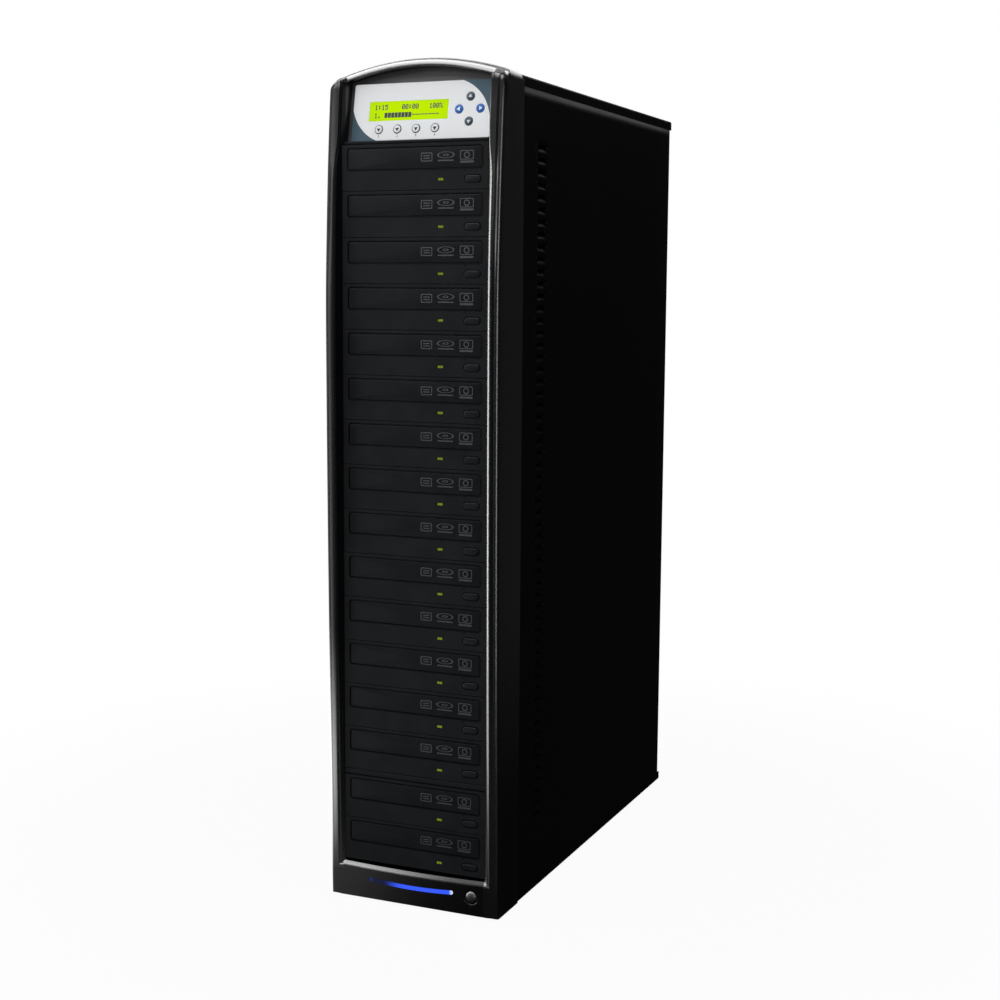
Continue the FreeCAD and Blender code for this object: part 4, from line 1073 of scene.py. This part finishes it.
def door_signs(node):
    """Plain signs on a tray door, as flat bands: two framed bars, a flat ring and a framed disc,
    the last two over bars."""
    low, high = span(node)
    proud, below_top = 0.00004, 0.0088
    turn = np.linspace(0.0, 2.0 * math.pi, 24, endpoint=False)
    wheel = np.cos(turn), np.sin(turn)

    def ring(across, up, width):
        inner = (across - width) / across
        return band((across * wheel[0], up * wheel[1]),
                    (inner * across * wheel[0], inner * up * wheel[1]))

    def plate(across, up, width):
        return band(round_line(across, up, 0.0012, 24),
                    round_line(across - width, up - width, 0.0006, 24))

    def bar(across, up):
        return band(round_line(across, up, up, 12),
                    round_line(across - up, 0.02 * up, 0.02 * up, 12))

    first, second, third = 0.0128, 0.0321, 0.0529
    signs = [(first, 0.0, plate(0.0058, 0.0040, 0.0009)),
             (first, 0.0011, bar(0.0034, 0.0005)),
             (first, -0.0011, bar(0.0034, 0.0005)),
             (second, 0.0015, ring(0.0088, 0.0030, 0.0016)),
             (second, 0.0015, ring(0.0030, 0.0011, 0.0014)),
             (second, -0.0034, bar(0.0080, 0.0006)),
             (third, 0.0010, plate(0.0068, 0.0042, 0.0008)),
             (third, 0.0010, ring(0.0029, 0.0029, 0.0010)),
             (third, -0.0050, bar(0.0068, 0.0009))]
    parts = []
    for across, up, (flat, faces) in signs:
        x, z = np.moveaxis(flat, -1, 0)
        points = spread(across + x, low[1] - proud, high[2] - below_top + up + z)
        parts.append((points.reshape(-1, 3), faces.tolist()))
    return together(parts)


# Radius and height of a pin hole's rim and floor
PIN_HOLE = [(0.00095, -0.0003), (0.00095, 0.00004), (0.00080, 0.00010), (0.00052, 0.00008),
            (0.00048, 0.00002)]


class DuplicatorDrives(bpy.types.Operator):
    """Finishes the sixteen drives and makes their trays, eject buttons, the dark lip round each and
    pin holes; the lip and pin holes are near-black as painted shade of gaps and holes
    """
    bl_idname = "duplicator.drives"
    bl_label = "Drives"

    def execute(self, context):
        size = sizes()
        dress(moulded("drive_front", shades().drive), "drive_faceplates")
        dress(small_lamp("activity_lens", shades().activity), "drive_lights")
        door = moulded("tray_black", shades().door)
        cap = moulded("eject_black", shades().door)
        # Painted shade: the near-black of the lip round each door and eject button and of the pin
        # holes stands for the shade in gaps and holes
        lip = moulded("gap_shade_black", shades().lip)
        sign = plain_ink("door_sign", shades().mark)
        door_gap_shades, eject_gap_shades, holes = [], [], []
        for bay in BAYS:
            tray, eject = f"tray_{bay:02d}", f"eject_button_{bay:02d}"
            back = span(tray)[0][1] + 0.004
            slab = stepped(tray, size.door_corner, size.door_edge, back, 40)
            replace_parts(put(f"tray_door_{bay:02d}", slab, door, tray), tray)
            put(f"tray_carrier_{bay:02d}", carrier_skin(tray), door, tray)
            put(f"tray_signs_{bay:02d}", door_signs(tray), sign, tray,
                facing=FORWARD)
            door_gap_shades.append(gap_shade_band(tray, 0.0004, size.door_corner, size.gap_shade_width))
            low, high = span(eject)
            end_round = (high[2] - low[2]) / 2.0
            pill = stepped(eject, end_round, size.eject_round, high[1], 36)
            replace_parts(put(f"eject_pill_{bay:02d}", pill, cap, eject), eject)
            eject_gap_shades.append(gap_shade_band(eject, 0.00025, end_round, 0.9 * size.gap_shade_width))
            middle = middle_of(eject)
            centre = np.array([middle[0] - 0.0071, FACE_LOW[1], middle[2] + 0.0076])
            holes.append(turned(PIN_HOLE, centre, FORWARD, ACROSS, 12))
        for name, skins in (("door_gap_shade", door_gap_shades), ("eject_gap_shade", eject_gap_shades), ("pin_holes", holes)):
            put(name, together(skins), lip, "case")
        return {"FINISHED"}


# Seven rows of five bits for each sign that is shown
GLYPHS = {
    "0": (14, 17, 19, 21, 25, 17, 14), "1": (4, 12, 4, 4, 4, 4, 14), "2": (14, 17, 1, 2, 4, 8, 31),
    "3": (31, 2, 4, 2, 1, 17, 14), "4": (2, 6, 10, 18, 31, 2, 2), "5": (31, 16, 30, 1, 1, 17, 14),
    ":": (0, 12, 12, 0, 12, 12, 0), ".": (0, 0, 0, 0, 0, 12, 12), "%": (24, 25, 2, 4, 8, 19, 3),
    "#": (31, 31, 31, 31, 31, 31, 31), "-": (0, 0, 0, 31, 0, 0, 0), " ": (0, 0, 0, 0, 0, 0, 0),
}


def dots(line, left, top, pitch, out):
    """Dark dots of a line of figures on the panel: each set bit of a sign's rows becomes a small
    block, a little taller than wide."""
    tall, fill = 1.12, 1.36
    rows = np.array([GLYPHS[sign] for sign in line])
    lit = (rows[:, :, None] >> np.array([4, 3, 2, 1, 0])) & 1
    place, row, column = np.nonzero(lit)
    x = left + (6 * place + column) * pitch
    z = top - row * tall * pitch
    size = fill * pitch
    corner_x = x[:, None] + size * np.array([0.0, 1.0, 1.0, 0.0])
    corner_z = z[:, None] - size * tall * np.array([1.0, 1.0, 0.0, 0.0])
    points = on_panel(corner_x, corner_z, out)
    return points.reshape(-1, 3), np.arange(4 * len(x)).reshape(-1, 4).tolist()


# Each key's finish, and the quarter turns of its triangle from one that points up
KEYS = {"key_up": ("navy_key", 0), "key_down": ("navy_key", 2),
        "key_escape": ("blue_key", 1), "key_enter": ("blue_key", 3),
        "menu_key_1": ("white_key", 2), "menu_key_2": ("white_key", 2),
        "menu_key_3": ("white_key", 2), "menu_key_4": ("white_key", 2)}


class DuplicatorControls(bpy.types.Operator):
    """Prints the control panel, lights its display and makes its eight keys"""
    bl_idname = "duplicator.controls"
    bl_label = "Control panel"

    def execute(self, context):
        dress(panel_print("panel_print"), "control_fascia")
        dress(lit_display("display_field"), "lcd_module")
        dress(circuit("board_green", shades().board), "control_board")
        ink = plain_ink("display_ink", shades().ink)
        pitch, left, behind = sizes().dot_pitch, -0.0480, -0.00042
        lines = [dots("1:15    00:00   100%", left, 0.0333, pitch, behind),
                 dots("1. ########-------- ", left, 0.0258, pitch, behind)]
        put("display_dots", together(lines), ink, "case", facing=PANEL_OUT)
        first, apart, up, fine, proud = -0.0426, 0.0191, 0.0050, 0.00026, 0.00003
        numerals = [dots(str(key + 1), first + apart * key, up, fine, proud) for key in range(4)]
        put("key_numerals", together(numerals), ink, "case", facing=PANEL_OUT)

        white, black = (0.78, 0.79, 0.80), (0.01, 0.012, 0.015)
        caps = {"navy_key": marked_key("navy_cap", shades().navy, (0.62, 0.66, 0.70), False),
                "blue_key": marked_key("blue_cap", shades().blue, (0.85, 0.90, 0.95), False),
                "white_key": marked_key("white_cap", white, black, True)}
        radius, proud, edge = 0.0041, sizes().key_proud, sizes().key_round
        foot, crown = -0.0032, 0.0002
        profile = [(radius, foot)]
        rim = radius - edge, proud - edge - crown
        profile += [(rim[0] + edge * math.cos(a), rim[1] + edge * math.sin(a)) for a in quarter(5)]
        profile += [(radius * share, proud - crown * share ** 2) for share in (0.66, 0.4, 0.15)]
        for node, (slot, quarters) in KEYS.items():
            middle = middle_of(node) - PANEL_FOOT
            centre = on_panel(middle[0], middle @ PANEL_UP, 0.0)
            cap = turned(profile, centre, PANEL_OUT, ACROSS, 40)
            made = put("cap_" + node, cap, caps[slot], node)
            angle = quarters * math.pi / 2.0
            right = (math.cos(angle) * ACROSS + math.sin(angle) * PANEL_UP) / radius
            up = (-math.sin(angle) * ACROSS + math.cos(angle) * PANEL_UP) / radius
            chart_from(made, lambda p: (p - centre) @ right, lambda p: (p - centre) @ up)
            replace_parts(made, node)
        return {"FINISHED"}


class DuplicatorBase(bpy.types.Operator):
    """Lights the bar in the base and makes the domed power button"""
    bl_idname = "duplicator.base"
    bl_label = "Light bar and power button"

    def execute(self, context):
        dress(glowing_bar("bar_glow"), "light_bar")
        centre = middle_of("power_button")
        centre[1] = span("power_button")[0][1]
        radius, crown, foot = 0.0061, 0.0034, -0.0090
        profile = [(radius, foot)]
        profile += [(radius * math.cos(a), crown * (math.sin(a) - 1.0)) for a in quarter(14)[:-1]]
        gloss = moulded("power_gloss", (0.006, 0.006, 0.0065))
        dome = turned(profile, centre, FORWARD, ACROSS, 48)
        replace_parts(put("power_dome", dome, gloss, "power_button"), "power_button")
        return {"FINISHED"}


def round_floor(radius, height):
    """Flat disc: rings of points that step outwards from the middle."""
    rings, around = 14, 72
    reach = np.linspace(0.02, 1.0, rings)[:, None] * radius
    angle = np.linspace(0.0, 2.0 * math.pi, around, endpoint=False)
    grid = spread(reach * np.cos(angle), reach * np.sin(angle), height)
    points = np.concatenate([grid.reshape(-1, 3), [[0.0, 0.0, height]]])
    return points, joined(rings, around, True).tolist() + fan(rings * around, 0, around).tolist()


TOP = CAD_BOX[1][2]
# Name, place, point that it faces, width, height and power; the soft lamps give plain light alone
SOFT_LAMPS = (
    ("soft_top", (0.10, -0.70, TOP + 1.10), (0.0, -0.15, TOP), 1.6, 1.2, 4.5),
    ("soft_front", (-0.35, -2.2, 1.0), (0.0, -0.24, 0.45), 1.6, 1.6, 17.0),
    ("soft_back", (-0.30, 2.2, 1.0), (0.0, 0.25, 0.45), 1.6, 1.6, 12.0),
)
# The rim lamps are seen in gloss alone
RIM_LAMPS = (
    ("rim_top", (-0.35, -0.76, TOP + 0.95), (-0.35, -0.7599, TOP), 2.0, 1.9, 155.0),
    ("rim_left", (-1.26, -0.64, 0.36), (0.08, -0.24, 0.30), 0.50, 1.5, 42.0),
    ("rim_sill", (-0.84, -1.12, 1.10), (-0.05, -0.24, 0.04), 0.30, 0.28, 7.5),
    ("rim_right", (0.92, -1.35, 0.40), (0.089, -0.24, 0.40), 0.25, 1.6, 13.0),
    ("rim_back", (-0.95, 1.90, 1.90), (0.0, -0.20, 0.80), 1.6, 1.4, 11.0),
    ("rim_shoulder", (0.15, 1.70, 1.62), (0.085, -0.21, 0.785), 0.9, 0.5, 3.2),
    ("rim_behind", (-1.30, 1.40, 0.45), (-0.09, -0.24, 0.45), 1.0, 1.8, 3.0),
)


def lamp(gloss, name, place, target, width, height, power):
    """Soft box: a rectangle of light that faces a point. It gives either gloss or plain light."""
    light = bpy.data.lights.new(name, "AREA")
    light.shape = "RECTANGLE"
    light.size, light.size_y, light.energy = width, height, power
    made = bpy.data.objects.new(name, light)
    way = (Vector(target) - Vector(place)).to_track_quat("-Z", "Y")
    made.matrix_world = Matrix.Translation(place) @ way.to_matrix().to_4x4()
    made.visible_camera = False
    made.visible_diffuse = not gloss
    made.visible_glossy = gloss
    bpy.context.scene.collection.objects.link(made)


def white_surround(world):
    """World that is white to the camera, pale to plain light and dim in gloss."""
    made = Finish(world)
    seen, gloss = made.rays()
    studio = made.shining("ShaderNodeBackground", 0.36, (0.95, 0.97, 1.0))
    dim = made.shining("ShaderNodeBackground", 0.035)
    white = made.shining("ShaderNodeBackground", 1.0)
    surface = made.blend(seen, made.blend(gloss, studio, dim), white)
    made.node("ShaderNodeOutputWorld", None, {"Surface": surface})


def pale_floor():
    """Paper floor that is white to the camera, a little less so near the part, where it keeps a
    shadow. In gloss it is dim on the right and bright on the far left."""
    made = finish("pale_floor")
    seen, gloss = made.rays()
    across, along, _ = made.place()
    far = ((across ** 2.0 + along ** 2.0) ** 0.5).ease(0.35, 0.95)
    tone = made.mix(made.grain(3.0, 2.0), (0.80, 0.80, 0.80), (0.84, 0.84, 0.84))
    paper = made.node("ShaderNodeBsdfPrincipled", None,
                      {"Base Color": tone, "Roughness": 1.0, "Specular IOR Level": 0.0})
    white = made.shining("ShaderNodeEmission", 1.0)
    plain = made.blend((0.95 + 0.05 * far) * seen, paper, white)
    leftward = 0.0 - across
    share = 0.09 * leftward.ease(-0.05, 0.13) + 0.91 * leftward.ease(0.13, 0.48)
    dim, bright = made.shining("ShaderNodeEmission", 0.03), made.shining("ShaderNodeEmission", 7.0)
    surface = made.blend(gloss, plain, made.blend(share, dim, bright))
    made.node("ShaderNodeOutputMaterial", None, {"Surface": surface})
    return made.owner


# The photograph's camera: its place from the drives' plane and the bezel's foot, its turn, pitch
# and roll in degrees, and its lens in widths of the sensor
CAMERA_PLACE = (0.6705, -1.3575, 0.5883)
CAMERA_ANGLES = (23.248, 7.329, 0.389)
CAMERA_LENS, SENSOR = 1.6350, 36.0


def photo_view():
    """Camera at the photograph's viewing angle: turned about the upright, pitched down, then rolled
    about its own line of sight."""
    view = bpy.data.cameras.new("photo_view")
    view.sensor_width = SENSOR
    view.lens = SENSOR * CAMERA_LENS
    view.clip_start, view.clip_end = 0.05, 50.0
    made = bpy.data.objects.new("photo_view", view)
    turn, pitch, roll = (math.radians(angle) for angle in CAMERA_ANGLES)
    level = math.cos(pitch)
    ahead = Vector((-math.sin(turn) * level, math.cos(turn) * level, -math.sin(pitch)))
    right = Vector((math.cos(turn), math.sin(turn), 0.0))
    up = right.cross(ahead)
    rolled_right = math.cos(roll) * right + math.sin(roll) * up
    rolled_up = math.cos(roll) * up - math.sin(roll) * right
    x, y, z = CAMERA_PLACE
    place = Matrix.Translation((x, y + FACE_LOW[1], z + BEZEL_LOW[2]))
    made.matrix_world = place @ Matrix((rolled_right, rolled_up, -ahead)).transposed().to_4x4()
    return made


class DuplicatorStage(bpy.types.Operator):
    """Sets up the pale floor, the white surround, the soft lamps and the camera"""
    bl_idname = "duplicator.stage"
    bl_label = "Stage"

    def execute(self, context):
        scene = context.scene
        scene.view_settings.view_transform = "Standard"
        scene.world = bpy.data.worlds.new("surround")
        white_surround(scene.world)
        mesh = bpy.data.meshes.new("floor")
        points, faces = round_floor(1.1, CAD_BOX[0][2] - 0.0002)
        mesh.from_pydata(points, [], faces)
        mesh.materials.append(pale_floor())
        ground = bpy.data.objects.new("floor", mesh)
        scene.collection.objects.link(ground)
        for gloss, lamps in ((False, SOFT_LAMPS), (True, RIM_LAMPS)):
            for values in lamps:
                lamp(gloss, *values)
        scene.camera = photo_view()
        scene.collection.objects.link(scene.camera)
        return {"FINISHED"}


STEPS = (DuplicatorStage, DuplicatorBezel, DuplicatorPanels, DuplicatorCase, DuplicatorDrives,
         DuplicatorControls, DuplicatorBase)


class DuplicatorSidebar(bpy.types.Panel):
    """Lists the steps and the values that can be changed"""
    bl_idname = "VIEW3D_PT_duplicator"
    bl_label = "Duplicator"
    bl_space_type = "VIEW_3D"
    bl_region_type = "UI"
    bl_category = "Duplicator"

    def draw(self, context):
        for each in STEPS:
            self.layout.operator(each.bl_idname)
        for group in (context.scene.duplicator_sizes, context.scene.duplicator_colours):
            for name in group.bl_rna.properties.keys():
                if name not in ("rna_type", "name"):
                    self.layout.prop(group, name)


CLASSES = (DuplicatorSizes, DuplicatorColours, *STEPS, DuplicatorSidebar)


def register():
    for each in CLASSES:
        bpy.utils.register_class(each)
    bpy.types.Scene.duplicator_sizes = PointerProperty(type=DuplicatorSizes)
    bpy.types.Scene.duplicator_colours = PointerProperty(type=DuplicatorColours)


def unregister():
    del bpy.types.Scene.duplicator_colours
    del bpy.types.Scene.duplicator_sizes
    for each in reversed(CLASSES):
        bpy.utils.unregister_class(each)


def main():
    register()
    bpy.ops.duplicator.stage()
    bpy.ops.duplicator.bezel()
    bpy.ops.duplicator.panels()
    bpy.ops.duplicator.case()
    bpy.ops.duplicator.drives()
    bpy.ops.duplicator.controls()
    bpy.ops.duplicator.base()


if __name__ == "__main__":
    main()
